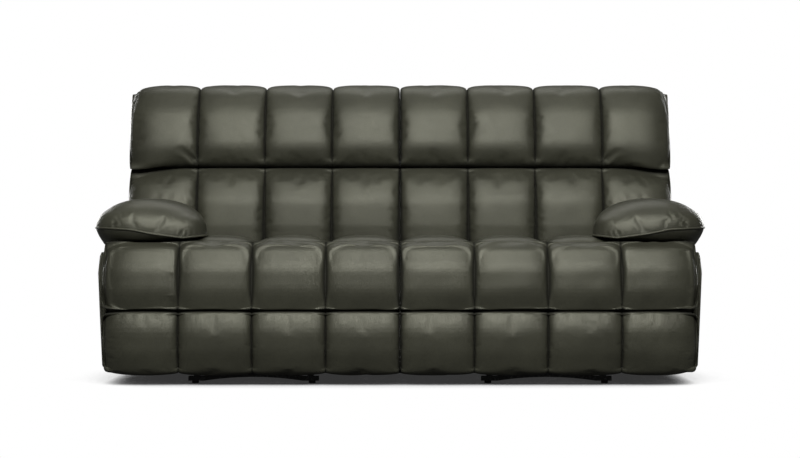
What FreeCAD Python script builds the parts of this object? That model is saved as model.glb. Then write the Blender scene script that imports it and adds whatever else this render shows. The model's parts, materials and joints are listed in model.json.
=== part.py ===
import FreeCAD, Part
import Sketcher
import math
import os

# A two-seat reclining sofa, built as two mirrored halves on one floor frame.
# Each half carries an arm, a seat and a back on a steel mechanism that rolls forward
# as the back leans, and a footrest that swings out on a parallelogram of links.
# +Z is up, the front faces -Y, and X runs along the sofa. Every length is in millimetres.
# Names that end in _run are distances behind the front of the footrest, along +Y.

SIZES = {
    # The whole sofa
    "front_y": -457.2,
    "unit_width": 1007.0,
    "centre_gap": 5.0,
    "channels": 4,
    "seat_channels": 3,
    "seam_round": 24.0,
    # Floor frame
    "frame_half_width": 225.0,
    "glide_inset": 23.0,
    "glide_radius": 12.0,
    "glide_height": 9.0,
    "glide_front_run": 125.0,
    "glide_rear_run": 700.0,
    "stud_radius": 4.0,
    "bar_thickness": 15.0,
    "bar_depth": 30.0,
    "bar_flat": 55.0,
    "bar_rise": 13.0,
    "track_overhang": 7.0,
    "track_inset": 19.0,
    "track_flange": 20.0,
    "track_wall": 4.0,
    "track_height": 44.0,
    "tie_run": 200.0,
    "tie_depth": 25.0,
    "tie_height": 16.0,
    "tie_lift": 4.0,
    # Rollers in the track
    "roller_clearance": 0.3,
    "roller_side_clearance": 8.0,
    "roller_width": 12.0,
    "roller_pin_radius": 6.0,
    "roller_front_run": 260.0,
    "roller_rear_run": 640.0,
    "running_clearance": 0.05,
    # Side plates of the mechanism
    "plate_thickness": 4.0,
    "plate_low": 32.0,
    "plate_top": 330.0,
    "plate_front_run": 142.0,
    "plate_rear_run": 716.0,
    "plate_hub": 26.0,
    "plate_flange": 22.0,
    "plate_window_radius": 42.0,
    # Pivots of the footrest links and of the back
    "drive_run": 200.0,
    "drive_z": 300.0,
    "guide_forward": 40.0,
    "guide_lift": 12.8,
    "elbow_run": 318.0,
    "elbow_z": 68.3,
    "rest_pivot_run": 128.0,
    "rest_pivot_z": 230.0,
    "link_half_width": 12.0,
    "link_thickness": 4.0,
    "layer_gap": 2.0,
    "link_pin_radius": 6.0,
    "drive_pin_radius": 8.0,
    "drive_tube_radius": 11.0,
    "back_pivot_run": 690.0,
    "back_pivot_z": 300.0,
    "back_pin_radius": 8.0,
    # Footrest
    "rest_pad_depth": 90.0,
    "rest_low": 39.0,
    "rest_seam": 252.0,
    "rest_drop": 17.0,
    "rest_top_round": 70.0,
    "rest_foot_round": 36.0,
    "rest_seam_round": 32.0,
    "rest_lower_setback": 3.0,
    "board_thickness": 18.0,
    "board_low": 60.0,
    "board_top": 376.0,
    "board_inset": 10.0,
    "rest_bracket_low": 140.0,
    "rest_bracket_high": 320.0,
    "rest_bracket_flange": 32.0,
    # Wooden seat frame
    "rail_thickness": 22.0,
    "rail_top": 378.0,
    "front_rail_run": 128.0,
    "rear_rail_run": 545.0,
    "rail_inset": 4.5,
    "spring_count": 5,
    "spring_wire_radius": 2.0,
    "spring_half_width": 24.0,
    "spring_step": 30.0,
    # Seat cushion
    "seat_front_run": 98.0,
    "seat_crown": 505.0,
    "seat_front_round": 60.0,
    "seat_rear_round": 30.0,
    "soft_gap": 1.5,
    # Arm
    "arm_front_run": 110.0,
    "arm_rear_run": 496.0,
    "arm_board": 18.0,
    "arm_low": 60.0,
    "arm_drop": 47.0,
    "side_thickness": 34.0,
    "side_gap": 1.0,
    "side_front_run": 100.0,
    "side_rear_run": 806.0,
    "side_low": 52.0,
    "side_drop": 6.0,
    "side_taper": 14.0,
    "side_shoulder": 70.0,
    "side_lean_in": 7.0,
    "side_round": 15.0,
    "pad_front_run": 62.0,
    "pad_inset": 1.5,
    "pad_overhang": 95.0,
    "pad_height": 182.0,
    "pad_tuck": 24.0,
    "pad_outer_lift": 86.0,
    "pad_outer_slope": 62.0,
    "pad_outer_drop": 24.0,
    "pad_crown_outer": 155.0,
    "pad_crown_inner": 120.0,
    "pad_inner_slope": 28.0,
    "pad_inner_drop": 66.0,
    "pad_inner_wall": 16.0,
    "pad_shoulder_round": 60.0,
    "pad_nose_round": 50.0,
    "pad_chin_slope": 18.0,
    # Panels around the seat unit
    "panel_thickness": 18.0,
    "panel_low": 52.0,
    "inner_panel_step_z": 180.0,
    "rear_panel_run": 788.0,
    "rear_panel_top": 228.0,
    "rear_panel_clearance": 8.0,
    "cleat_width": 40.0,
    # Release handle and cable
    "cup_run": 290.0,
    "cup_drop": 128.0,
    "cup_length": 100.0,
    "cup_height": 66.0,
    "cup_wall": 4.0,
    "cup_recess": 3.5,
    "handle_width": 42.0,
    "handle_length": 56.0,
    "handle_thickness": 6.0,
    "handle_hinge_radius": 3.0,
    "handle_clearance": 1.0,
    "cable_radius": 3.0,
    "cable_run": 345.0,
    "cable_lift": 14.0,
    "cable_clearance": 2.0,
    "cable_exit": 58.0,
    "cable_swing": 136.0,
    "cable_end": 78.0,
    "cable_dip": 22.0,
    "cable_bend": 26.0,
    "cable_shift": 60.0,
    # Back, in its own leaning frame: its depth runs rearwards and its height up the lean
    "back_run": 640.0,
    "back_z": 300.0,
    "back_lean": 10.0,
    "back_face": 150.0,
    "back_seam": 455.0,
    "back_low": 72.0,
    "back_crown": 779.0,
    "back_rear": 130.0,
    "back_top_round": 88.0,
    "back_rear_round": 50.0,
    "back_seam_round": 34.0,
    "back_foot_round": 40.0,
    "cap_drop": 52.0,
    "shell_thickness": 20.0,
    "shell_low": -60.0,
    "post_width": 22.0,
    "post_depth": 45.0,
    "post_low": 42.0,
    "frame_rail_height": 40.0,
    "frame_rail_low": 62.0,
    "frame_rail_middle": 400.0,
    "back_bracket_top": 520.0,
    "back_bracket_half_width": 24.0,
}


# How far a cutting tool stands out past the piece that it cuts
CUTTER_OVERRUN = 1.0


class Dim:
    """A length that carries both its number and its formula in the sheet."""

    def __init__(self, number, formula):
        self.number = number
        self.formula = formula

    def __add__(self, other):
        other = as_dim(other)
        return Dim(self.number + other.number, f"({self.formula} + {other.formula})")

    def __sub__(self, other):
        other = as_dim(other)
        return Dim(self.number - other.number, f"({self.formula} - {other.formula})")

    def __mul__(self, other):
        other = as_dim(other)
        return Dim(self.number * other.number, f"({self.formula} * {other.formula})")

    def __truediv__(self, other):
        other = as_dim(other)
        return Dim(self.number / other.number, f"({self.formula} / {other.formula})")

    def __neg__(self):
        return Dim(-self.number, f"(0 - {self.formula})")


def as_dim(value):
    """A plain number becomes a Dim whose formula is that number."""
    return value if isinstance(value, Dim) else Dim(float(value), repr(value))


doc = FreeCAD.newDocument("reclining_sofa")
sheet = doc.addObject("Spreadsheet::Sheet", "Sizes")
for row, (alias, number) in enumerate(SIZES.items(), start=1):
    sheet.set(f"A{row}", alias)
    sheet.set(f"B{row}", str(number))
    sheet.setAlias(f"B{row}", alias)
doc.recompute()


def size(alias):
    """The driving dimension of that name."""
    return Dim(float(SIZES[alias]), f"Sizes.{alias}")


def behind_front(alias):
    """The Y coordinate of a distance behind the front of the footrest."""
    return size("front_y") + size(alias)


# Places that several pieces share, for the left half
inner_x = -(size("centre_gap") / 2)
outer_x = inner_x - size("unit_width")
pitch = size("unit_width") / size("channels")
arm_inner_x = inner_x - pitch * size("seat_channels")
unit_centre_x = inner_x - size("unit_width") / 2
glide_offset = size("frame_half_width") - size("glide_inset")
front_bar_y = behind_front("glide_front_run") - size("bar_depth") / 2
track_end_y = behind_front("glide_rear_run") + size("bar_depth") / 2 + size("track_overhang")
track_outside = size("frame_half_width") - size("track_inset")
roller_outside = track_outside - size("track_wall") - size("roller_side_clearance")
plate_outside = roller_outside - size("roller_width") - size("layer_gap")
track_low = size("glide_height") + size("bar_thickness")
roller_radius = size("track_height") / 2 - size("track_wall") - size("roller_clearance")
roller_z = track_low + size("track_height") / 2
guide_y = behind_front("drive_run") - size("guide_forward")
guide_z = size("drive_z") + size("guide_lift")
guide_elbow_y = behind_front("elbow_run") - size("guide_forward")
guide_elbow_z = size("elbow_z") + size("guide_lift")
first_layer = plate_outside - size("plate_thickness") - size("layer_gap") * 2
second_layer = first_layer - size("link_thickness") - size("layer_gap")
third_layer = second_layer - size("link_thickness") - size("layer_gap")
board_front = behind_front("rest_pad_depth")
board_rear = board_front + size("board_thickness")
rail_low = size("plate_top")
side_inner_x = outer_x - size("side_gap")
side_outer_x = side_inner_x - size("side_thickness")
cup_mouth_x = side_outer_x + size("cup_recess")
hinge_x = cup_mouth_x + size("handle_thickness")
hinge_y = behind_front("cup_run") + size("cup_length") - size("cup_wall") - size("handle_thickness")
arm_top = size("seat_crown") - size("arm_drop")
rest_top = size("seat_crown") - size("rest_drop")
cup_low = arm_top - size("cup_drop")
cable_z = cup_low + size("cable_lift")


def bind(thing, path, value):
    """Ties one property of a document object to a formula in the sheet."""
    thing.setExpression(path, as_dim(value).formula)


def place(thing, x, y, z):
    """Ties the base point of a piece to three formulas."""
    for axis, value in zip("xyz", (x, y, z)):
        bind(thing, f"Placement.Base.{axis}", value)


def box(name, low, high):
    """A block between two corners."""
    block = doc.addObject("Part::Box", name)
    for path, start, end in zip(("Length", "Width", "Height"), low, high):
        bind(block, path, as_dim(end) - start)
    place(block, *low)
    return block


TURNS = {
    "X": FreeCAD.Rotation(FreeCAD.Vector(0, 1, 0), 90),
    "Y": FreeCAD.Rotation(FreeCAD.Vector(-1, 0, 0), 90),
    "Z": FreeCAD.Rotation(),
}


def rod(name, along, start, radius, length):
    """A round bar that starts at a point and runs along one axis."""
    bar = doc.addObject("Part::Cylinder", name)
    bar.Placement = FreeCAD.Placement(FreeCAD.Vector(), TURNS[along])
    bind(bar, "Radius", radius)
    bind(bar, "Height", length)
    place(bar, *start)
    return bar


def fuse(name, pieces):
    """Pieces that are welded or moulded into one."""
    joined = doc.addObject("Part::MultiFuse", name)
    joined.Shapes = pieces
    return joined


def cut(name, base, tool):
    """A piece with a hole or pocket of the tool's shape."""
    rest = doc.addObject("Part::Cut", name)
    rest.Base = base
    rest.Tool = tool
    return rest


def group(name, pieces):
    """Pieces that share one node and stay separate solids."""
    together = doc.addObject("Part::Compound", name)
    together.Links = pieces
    return together


def mirrored(name, source, plane_x):
    """The same piece on the other side of an upright plane across X."""
    twin = doc.addObject("Part::Mirroring", name)
    twin.Source = source
    twin.Normal = FreeCAD.Vector(1, 0, 0)
    bind(twin, "Base.x", plane_x)
    return twin


def pair(name, piece):
    """A piece and its twin on the other side of the mechanism."""
    return group(name, [piece, mirrored(f"{name}_twin", piece, unit_centre_x)])


PLANES = {"YZ": "YZ_Plane", "XZ": "XZ_Plane", "XY": "XY_Plane"}


def origin_feature(body, role):
    """One plane or axis of a body's own origin."""
    return [f for f in body.Origin.OriginFeatures if f.Role == role][0]


def sketch_on(body, name, plane, offset):
    """An empty sketch on an origin plane, moved along its normal."""
    drawing = body.newObject("Sketcher::SketchObject", name)
    drawing.AttachmentSupport = [(origin_feature(body, PLANES[plane]), "")]
    drawing.MapMode = "FlatFace"
    bind(drawing, "AttachmentOffset.Base.z", offset)
    return drawing


def pin_point(drawing, geometry, end, across, up):
    """Holds one end of a line or arc at a place given by two formulas."""
    for kind, value in (("DistanceX", across), ("DistanceY", up)):
        value = as_dim(value)
        index = drawing.addConstraint(Sketcher.Constraint(kind, -1, 1, geometry, end, value.number))
        bind(drawing, f"Constraints[{index}]", value)


def draw_outline(drawing, points):
    """A closed outline of straight lines through the given points."""
    first = drawing.GeometryCount
    corners = [FreeCAD.Vector(as_dim(a).number, as_dim(b).number, 0) for a, b in points]
    for here, there in zip(corners, corners[1:] + corners[:1]):
        drawing.addGeometry(Part.LineSegment(here, there), False)
    count = len(points)
    for index in range(count):
        after = first + (index + 1) % count
        drawing.addConstraint(Sketcher.Constraint("Coincident", first + index, 2, after, 1))
    for index, (across, up) in enumerate(points):
        pin_point(drawing, first + index, 1, across, up)


def draw_hole(drawing, across, up, radius):
    """A round hole, held at its centre."""
    centre = FreeCAD.Vector(as_dim(across).number, as_dim(up).number, 0)
    radius = as_dim(radius)
    up_axis = FreeCAD.Vector(0, 0, 1)
    index = drawing.addGeometry(Part.Circle(centre, up_axis, radius.number), False)
    pin_point(drawing, index, 3, across, up)
    constraint = drawing.addConstraint(Sketcher.Constraint("Radius", index, radius.number))
    bind(drawing, f"Constraints[{constraint}]", radius)


def straight_edges(shape, axis, points):
    """Names of the edges along one axis that pass through the given points of the outline."""
    spans = {"X": "XLength", "Y": "YLength", "Z": "ZLength"}
    found = []
    for number, edge in enumerate(shape.Edges, start=1):
        bounds = edge.BoundBox
        lengths = {name: getattr(bounds, span) for name, span in spans.items()}
        across = [length for name, length in lengths.items() if name != axis]
        if lengths[axis] < 1e-3 or max(across) > 1e-3:
            continue
        centre = {"X": bounds.Center.x, "Y": bounds.Center.y, "Z": bounds.Center.z}
        here = [value for name, value in centre.items() if name != axis]
        for a, b in points:
            if abs(here[0] - as_dim(a).number) < 0.01 and abs(here[1] - as_dim(b).number) < 0.01:
                found.append(f"Edge{number}")
    return found


def extrude(name, plane, outline, start, length, holes=(), rounds=()):
    """A body padded from an outline with holes, and with rounded corners.

    rounds lists (radius, [corner points]); the corners are points of the outline.
    """
    body = doc.addObject("PartDesign::Body", name)
    # The XZ plane faces -Y, so a pad from it is turned to run towards +Y.
    backwards = plane == "XZ"
    drawing = sketch_on(body, f"{name}_outline", plane, -as_dim(start) if backwards else start)
    draw_outline(drawing, outline)
    for across, up, radius in holes:
        draw_hole(drawing, across, up, radius)
    solid = body.newObject("PartDesign::Pad", f"{name}_pad")
    solid.Profile = drawing
    solid.Reversed = backwards
    bind(solid, "Length", length)
    doc.recompute()
    axis = {"YZ": "X", "XZ": "Y", "XY": "Z"}[plane]
    for index, (radius, corners) in enumerate(rounds):
        edges = straight_edges(solid.Shape, axis, corners)
        solid = round_edges(body, f"{name}_round_{index}", solid, edges, radius)
    return body


def round_edges(body, name, base, edges, radius):
    """A fillet on the named edges of a body's last feature."""
    rounded = body.newObject("PartDesign::Fillet", name)
    rounded.Base = (base, edges)
    bind(rounded, "Radius", radius)
    doc.recompute()
    return rounded


def channel_pad(name, outline, rounds, face_points, start_x, width, count):
    """A sewn pad: one rounded channel, repeated side by side.

    face_points are points that lie on the padded sides; the end edges there are rounded,
    which makes the sewn valley between two channels.
    """
    body = extrude(name, "YZ", outline, start_x, width, rounds=rounds)
    solid = body.Tip
    doc.recompute()
    ends = []
    for number, edge in enumerate(solid.Shape.Edges, start=1):
        bounds = edge.BoundBox
        if bounds.XLength > 1e-3:
            continue
        middle = edge.valueAt((edge.FirstParameter + edge.LastParameter) / 2)
        if on_padded_side(middle, face_points):
            ends.append(f"Edge{number}")
    solid = round_edges(body, f"{name}_ends", solid, ends, size("seam_round"))
    if as_dim(count).number > 1:
        row = body.newObject("PartDesign::LinearPattern", f"{name}_channels")
        row.Direction = (origin_feature(body, "X_Axis"), [""])
        row.TransformMode = "Whole shape"
        bind(row, "Length", as_dim(width) * (as_dim(count) - 1))
        bind(row, "Occurrences", count)
        body.Tip = row
    return body


def on_padded_side(point, limits):
    """Whether a point of the outline lies on a padded side, and not on the flat rear.

    limits is (highest Y, lowest Z, highest Z at or above which every side is padded).
    """
    rear, low, top = (as_dim(value).number for value in limits)
    return (point.y < rear - 0.01 and point.z > low - 0.01) or point.z > top - 0.01


def link(name, start, end, layer, holes=()):
    """A flat steel link with round ends, drawn along its own length and turned into place."""
    (start_y, start_z), (end_y, end_z) = start, end
    body = doc.addObject("PartDesign::Body", name)
    drawing = sketch_on(body, f"{name}_outline", "YZ", 0)
    half = size("link_half_width")
    rise = as_dim(end_z) - start_z
    run = as_dim(end_y) - start_y
    reach = Dim((rise.number**2 + run.number**2) ** 0.5, f"sqrt({rise.formula}^2 + {run.formula}^2)")
    far = reach.number
    width = half.number
    vector = FreeCAD.Vector
    drawing.addGeometry(Part.LineSegment(vector(0, -width, 0), vector(far, -width, 0)), False)
    drawing.addGeometry(
        Part.Arc(vector(far, -width, 0), vector(far + width, 0, 0), vector(far, width, 0)), False
    )
    drawing.addGeometry(Part.LineSegment(vector(far, width, 0), vector(0, width, 0)), False)
    drawing.addGeometry(Part.Arc(vector(0, width, 0), vector(-width, 0, 0), vector(0, -width, 0)), False)
    for index in range(4):
        joined = Sketcher.Constraint("Coincident", index, 2, (index + 1) % 4, 1)
        drawing.addConstraint(joined)
    for geometry, across, up in ((0, 0, -half), (1, reach, -half), (2, reach, half), (3, 0, half)):
        pin_point(drawing, geometry, 1, across, up)
    for arc, across in ((1, reach), (3, as_dim(0))):
        centred = drawing.addConstraint(Sketcher.Constraint("DistanceX", -1, 1, arc, 3, across.number))
        bind(drawing, f"Constraints[{centred}]", across)
    for place_along, radius in holes:
        draw_hole(drawing, reach if place_along == "end" else 0, 0, radius)
    solid = body.newObject("PartDesign::Pad", f"{name}_pad")
    solid.Profile = drawing
    bind(solid, "Length", size("link_thickness"))
    body.Placement = FreeCAD.Placement(
        FreeCAD.Vector(), FreeCAD.Rotation(FreeCAD.Vector(1, 0, 0), 30)
    )
    body.setExpression("Placement.Rotation.Angle", f"atan2({rise.formula}; {run.formula})")
    place(body, unit_centre_x + layer, start_y, start_z)
    return body


def leaned(piece):
    """Turns a piece from the back's own upright frame into its lean."""
    piece.Placement = FreeCAD.Placement(
        FreeCAD.Vector(), FreeCAD.Rotation(FreeCAD.Vector(-1, 0, 0), SIZES["back_lean"])
    )
    bind(piece, "Placement.Rotation.Angle", size("back_lean"))
    place(piece, 0, behind_front("back_run"), size("back_z"))
    return piece


def lean_line(depth, height):
    """The Y where a plane of the leaning back, at a depth in its own frame, meets a height."""
    depth = as_dim(depth)
    rise = as_dim(height) - size("back_z")
    lean = math.radians(SIZES["back_lean"])
    number = depth.number / math.cos(lean) + rise.number * math.tan(lean)
    turn = "(Sizes.back_lean * 1 deg)"
    formula = f"({depth.formula} / cos{turn} + {rise.formula} * tan{turn})"
    return behind_front("back_run") + Dim(number, formula)


def arched_bar():
    """The front foot bar: flat ends on the glides and a shallow arch between them."""
    body = doc.addObject("PartDesign::Body", "front_bar")
    drawing = sketch_on(body, "front_bar_outline", "XZ", -front_bar_y)
    half = size("frame_half_width")
    spring = half - size("bar_flat")
    low = size("glide_height")
    high = track_low
    rise = size("bar_rise")
    left, right = unit_centre_x - half, unit_centre_x + half
    arch_left, arch_right = unit_centre_x - spring, unit_centre_x + spring
    radius = (spring * spring + rise * rise) / (rise * 2)
    vector = FreeCAD.Vector
    corners = [(left, low), (arch_left, low), (arch_right, low), (right, low)]
    corners += [(right, high), (arch_right, high), (arch_left, high), (left, high)]
    spots = [vector(a.number, b.number, 0) for a, b in corners]
    crowns = {1: low + rise, 5: high + rise}
    # Arcs in a sketch run anticlockwise, so both are drawn from their right-hand end.
    ends = {index: (1, 2) for index in range(len(spots))}
    for index, here in enumerate(spots):
        there = spots[(index + 1) % len(spots)]
        if index not in crowns:
            drawing.addGeometry(Part.LineSegment(here, there), False)
            continue
        top = vector(unit_centre_x.number, crowns[index].number, 0)
        if here.x > there.x:
            drawing.addGeometry(Part.Arc(here, top, there), False)
        else:
            drawing.addGeometry(Part.Arc(there, top, here), False)
            ends[index] = (2, 1)
    for index, (across, up) in enumerate(corners):
        after = (index + 1) % len(spots)
        drawing.addConstraint(
            Sketcher.Constraint("Coincident", index, ends[index][1], after, ends[after][0])
        )
        pin_point(drawing, index, ends[index][0], across, up)
    for index, crown in crowns.items():
        centre_z = crown - radius
        held = drawing.addConstraint(Sketcher.Constraint("DistanceY", -1, 1, index, 3, centre_z.number))
        bind(drawing, f"Constraints[{held}]", centre_z)
    solid = body.newObject("PartDesign::Pad", "front_bar_pad")
    solid.Profile = drawing
    solid.Reversed = True
    bind(solid, "Length", size("bar_depth"))
    glide_y = behind_front("glide_front_run")
    sides = {"outer": -glide_offset, "inner": glide_offset}
    holes = [
        rod(f"front_bar_hole_{side}", "Z", (unit_centre_x + offset, glide_y, low - CUTTER_OVERRUN),
            size("stud_radius") + size("running_clearance"), size("bar_thickness") + CUTTER_OVERRUN * 2)
        for side, offset in sides.items()
    ]
    return cut("left_base_front_bar", body, group("front_bar_holes", holes))


def glides():
    """Four levelling glides: a disc on the floor and a stud up into the frame."""
    pieces = []
    for end in ("front", "rear"):
        for side, sign in (("outer", -1), ("inner", 1)):
            x = unit_centre_x + glide_offset * sign
            y = behind_front(f"glide_{end}_run")
            name = f"glide_{end}_{side}"
            disc = rod(f"{name}_disc", "Z", (x, y, 0), size("glide_radius"), size("glide_height"))
            stud = rod(f"{name}_stud", "Z", (x, y, size("glide_height")), size("stud_radius"),
                       size("bar_thickness"))
            pieces.append(fuse(name, [disc, stud]))
    return group("left_base_glides", pieces)


def rear_bar():
    """One straight bar under the back of both halves, which ties their floor frames together."""
    end = unit_centre_x - size("frame_half_width")
    y = behind_front("glide_rear_run")
    half = size("bar_depth") / 2
    bar = box("rear_bar_blank", (end, y - half, size("glide_height")), (-end, y + half, track_low))
    holes = []
    for half_name, mirror_sign in (("left", 1), ("right", -1)):
        for side, sign in (("outer", -1), ("inner", 1)):
            x = (unit_centre_x + glide_offset * sign) * mirror_sign
            start = (x, y, size("glide_height") - CUTTER_OVERRUN)
            holes.append(rod(f"rear_bar_hole_{half_name}_{side}", "Z", start,
                             size("stud_radius") + size("running_clearance"),
                             size("bar_thickness") + CUTTER_OVERRUN * 2))
    return cut("base_rear_bar", bar, group("rear_bar_holes", holes))


def tie_bar():
    """A short flat bar between the two inner tracks, near the front."""
    x = unit_centre_x + track_outside
    y = behind_front("tie_run")
    low = track_low + size("tie_lift")
    high = low + size("tie_height")
    return box("base_tie_bar", (x, y, low), (-x, y + size("tie_depth"), high))


def tracks():
    """Channel-section tracks, open towards the mechanism, that the rollers run in."""
    outside = unit_centre_x - track_outside
    inside = outside + size("track_flange")
    web = outside + size("track_wall")
    high = track_low + size("track_height")
    low_flange = track_low + size("track_wall")
    high_flange = high - size("track_wall")
    section = [(outside, track_low), (inside, track_low), (inside, low_flange), (web, low_flange),
               (web, high_flange), (inside, high_flange), (inside, high), (outside, high)]
    channel = extrude("track", "XZ", section, front_bar_y, track_end_y - front_bar_y)
    return pair("left_base_tracks", channel)


def rollers(end):
    """Two plastic rollers on one axis, one in each track."""
    centre = (unit_centre_x - roller_outside, behind_front(f"roller_{end}_run"), roller_z)
    wheel = rod(f"{end}_roller_wheel", "X", centre, roller_radius, size("roller_width"))
    bore = rod(f"{end}_roller_bore", "X", centre, size("roller_pin_radius") + size("running_clearance"),
               size("roller_width"))
    return pair(f"left_{end}_rollers", cut(f"{end}_roller", wheel, bore))


def mechanism_plates():
    """Pressed steel side plates with their seat flange, roller pins and pivots."""
    front = behind_front("plate_front_run")
    hub = size("plate_hub")
    pivot_y, pivot_z = behind_front("back_pivot_run"), size("back_pivot_z")
    track_front = behind_front("roller_front_run") - hub
    track_rear = behind_front("roller_rear_run") + hub
    outline = [
        (front, size("plate_top")),
        (front, size("drive_z") - hub),
        (track_front, size("drive_z") - hub * 4),
        (track_front, size("plate_low")),
        (track_rear, size("plate_low")),
        (track_rear, pivot_z - hub * 2),
        (behind_front("plate_rear_run"), pivot_z - hub),
        (behind_front("plate_rear_run"), size("plate_top")),
    ]
    drive_hole = size("drive_pin_radius") + size("running_clearance")
    window = size("plate_window_radius")
    window_z = size("plate_low") + window * 3
    holes = [
        (behind_front("drive_run"), size("drive_z"), drive_hole),
        (behind_front("roller_front_run") + window * 2, window_z, window),
        (behind_front("roller_rear_run") - window * 2, window_z, window),
    ]
    start = unit_centre_x - plate_outside
    plate = extrude("mechanism_plate", "YZ", outline, start, size("plate_thickness"), holes,
                    rounds=[(hub / 2, [outline[1], outline[6], outline[7]])])
    flange = box("mechanism_flange",
                 (start - size("plate_flange"), front, size("plate_top") - size("plate_thickness")),
                 (start, behind_front("plate_rear_run") - hub, size("plate_top")))
    roller_reach = size("layer_gap") + size("roller_width") + size("layer_gap") / 2
    pins = []
    for end in ("front", "rear"):
        centre = (start - roller_reach, behind_front(f"roller_{end}_run"), roller_z)
        pins.append(rod(f"roller_pin_{end}", "X", centre, size("roller_pin_radius"), roller_reach))
    inside = start + size("plate_thickness")
    link_reach = size("layer_gap") * 2 + size("link_thickness") + size("layer_gap") / 2
    guide_pin = rod("guide_pin", "X", (inside, guide_y, guide_z),
                    size("link_pin_radius"), link_reach)
    back_pin = rod("back_pin", "X", (inside, pivot_y, pivot_z), size("back_pin_radius"), link_reach)
    return pair("left_mechanism_plates", fuse("mechanism_side", [plate, flange, *pins, guide_pin, back_pin]))


def drive_links():
    """The driving pair of links, welded to the cross tube that turns them together."""
    drive = (behind_front("drive_run"), size("drive_z"))
    elbow = (behind_front("elbow_run"), size("elbow_z"))
    arm = link("drive_link", drive, elbow, -(first_layer))
    inner = first_layer - size("link_thickness")
    stub_start = unit_centre_x - plate_outside - size("layer_gap")
    stub = rod("drive_stub", "X", (stub_start, *drive), size("drive_pin_radius"),
               plate_outside + size("layer_gap") - inner)
    pin = rod("elbow_pin", "X", (unit_centre_x - inner, *elbow), size("link_pin_radius"),
              size("layer_gap") + size("link_thickness") + size("layer_gap") / 2)
    tube = rod("drive_tube", "X", (unit_centre_x - inner, *drive), size("drive_tube_radius"), inner * 2)
    side = fuse("drive_side", [arm, stub, pin])
    return fuse("left_drive_links", [side, mirrored("drive_side_twin", side, unit_centre_x), tube])


def guide_links():
    """The second pair of the parallelogram, on the mechanism's own pins."""
    start = (guide_y, guide_z)
    end = (guide_elbow_y, guide_elbow_z)
    hole = size("link_pin_radius") + size("running_clearance")
    arm = link("guide_link", start, end, -(first_layer), holes=[("start", hole)])
    inner = first_layer - size("link_thickness")
    pin = rod("guide_elbow_pin", "X", (unit_centre_x - inner, *end), size("link_pin_radius"),
              size("layer_gap") + size("link_thickness") + size("layer_gap") / 2)
    return pair("left_guide_links", fuse("guide_side", [arm, pin]))


def carrier_links():
    """The upper links that carry the footrest and stay level with themselves as they swing."""
    elbow = (behind_front("elbow_run"), size("elbow_z"))
    guide_elbow = (guide_elbow_y, guide_elbow_z)
    rest = (behind_front("rest_pivot_run"), size("rest_pivot_z"))
    long_arm = link("carrier_long", elbow, rest, -(second_layer))
    short_arm = link("carrier_short", elbow, guide_elbow, -(second_layer))
    blank = fuse("carrier_blank", [long_arm, short_arm])
    radius = size("link_pin_radius") + size("running_clearance")
    start_x = unit_centre_x - second_layer - CUTTER_OVERRUN
    holes = [
        rod(f"carrier_hole_{index}", "X", (start_x, *spot), radius, size("link_thickness") + CUTTER_OVERRUN * 2)
        for index, spot in enumerate((elbow, guide_elbow, rest))
    ]
    return pair("left_carrier_links", cut("carrier_side", blank, group("carrier_holes", holes)))


def footrest_brackets():
    """Angle brackets behind the footrest board, with the pins that the carriers turn on."""
    y, z = behind_front("rest_pivot_run"), size("rest_pivot_z")
    low, high = size("rest_bracket_low"), size("rest_bracket_high")
    half = size("link_half_width")
    start = unit_centre_x - third_layer
    thickness = size("link_thickness")
    outline = [(board_rear, low), (board_rear + thickness, low), (y + half, z - half), (y + half, z + half),
               (board_rear + thickness, high), (board_rear, high)]
    web = extrude("footrest_web", "YZ", outline, start, thickness)
    flange = box("footrest_flange", (start, board_rear, low),
                 (start + size("rest_bracket_flange"), board_rear + thickness, high))
    reach = size("layer_gap") + thickness + size("layer_gap") / 2
    pin = rod("footrest_pin", "X", (start - reach, y, z), size("link_pin_radius"), reach)
    return pair("left_footrest_brackets", fuse("footrest_bracket", [web, flange, pin]))


def footrest_board():
    """The plywood board that the footrest pads are built on."""
    low = (outer_x + size("board_inset"), board_front, size("board_low"))
    high = (inner_x - size("board_inset"), board_rear, size("board_top"))
    return box("left_footrest_board", low, high)


def footrest_upper_pad():
    """The upper row of the footrest, which rolls over towards the seat."""
    front, rear = size("front_y"), board_front
    low, top = size("rest_seam"), rest_top
    outline = [(front, low), (front, top), (rear, top), (rear, low)]
    rounds = [
        (size("rest_top_round"), [(front, top)]),
        (size("rest_seam_round"), [(front, low)]),
    ]
    return channel_pad("left_footrest_upper_pad", outline, rounds, (rear, low, top), outer_x, pitch,
                       size("channels"))


def footrest_lower_pad():
    """The lower row of the footrest, down to the floor gap."""
    front, rear = size("front_y") + size("rest_lower_setback"), board_front
    low, top = size("rest_low"), size("rest_seam")
    outline = [(front, low), (front, top), (rear, top), (rear, low)]
    rounds = [
        (size("rest_foot_round"), [(front, low)]),
        (size("rest_seam_round"), [(front, top)]),
    ]
    return channel_pad("left_footrest_lower_pad", outline, rounds, (rear, low, top), outer_x, pitch,
                       size("channels"))


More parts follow.
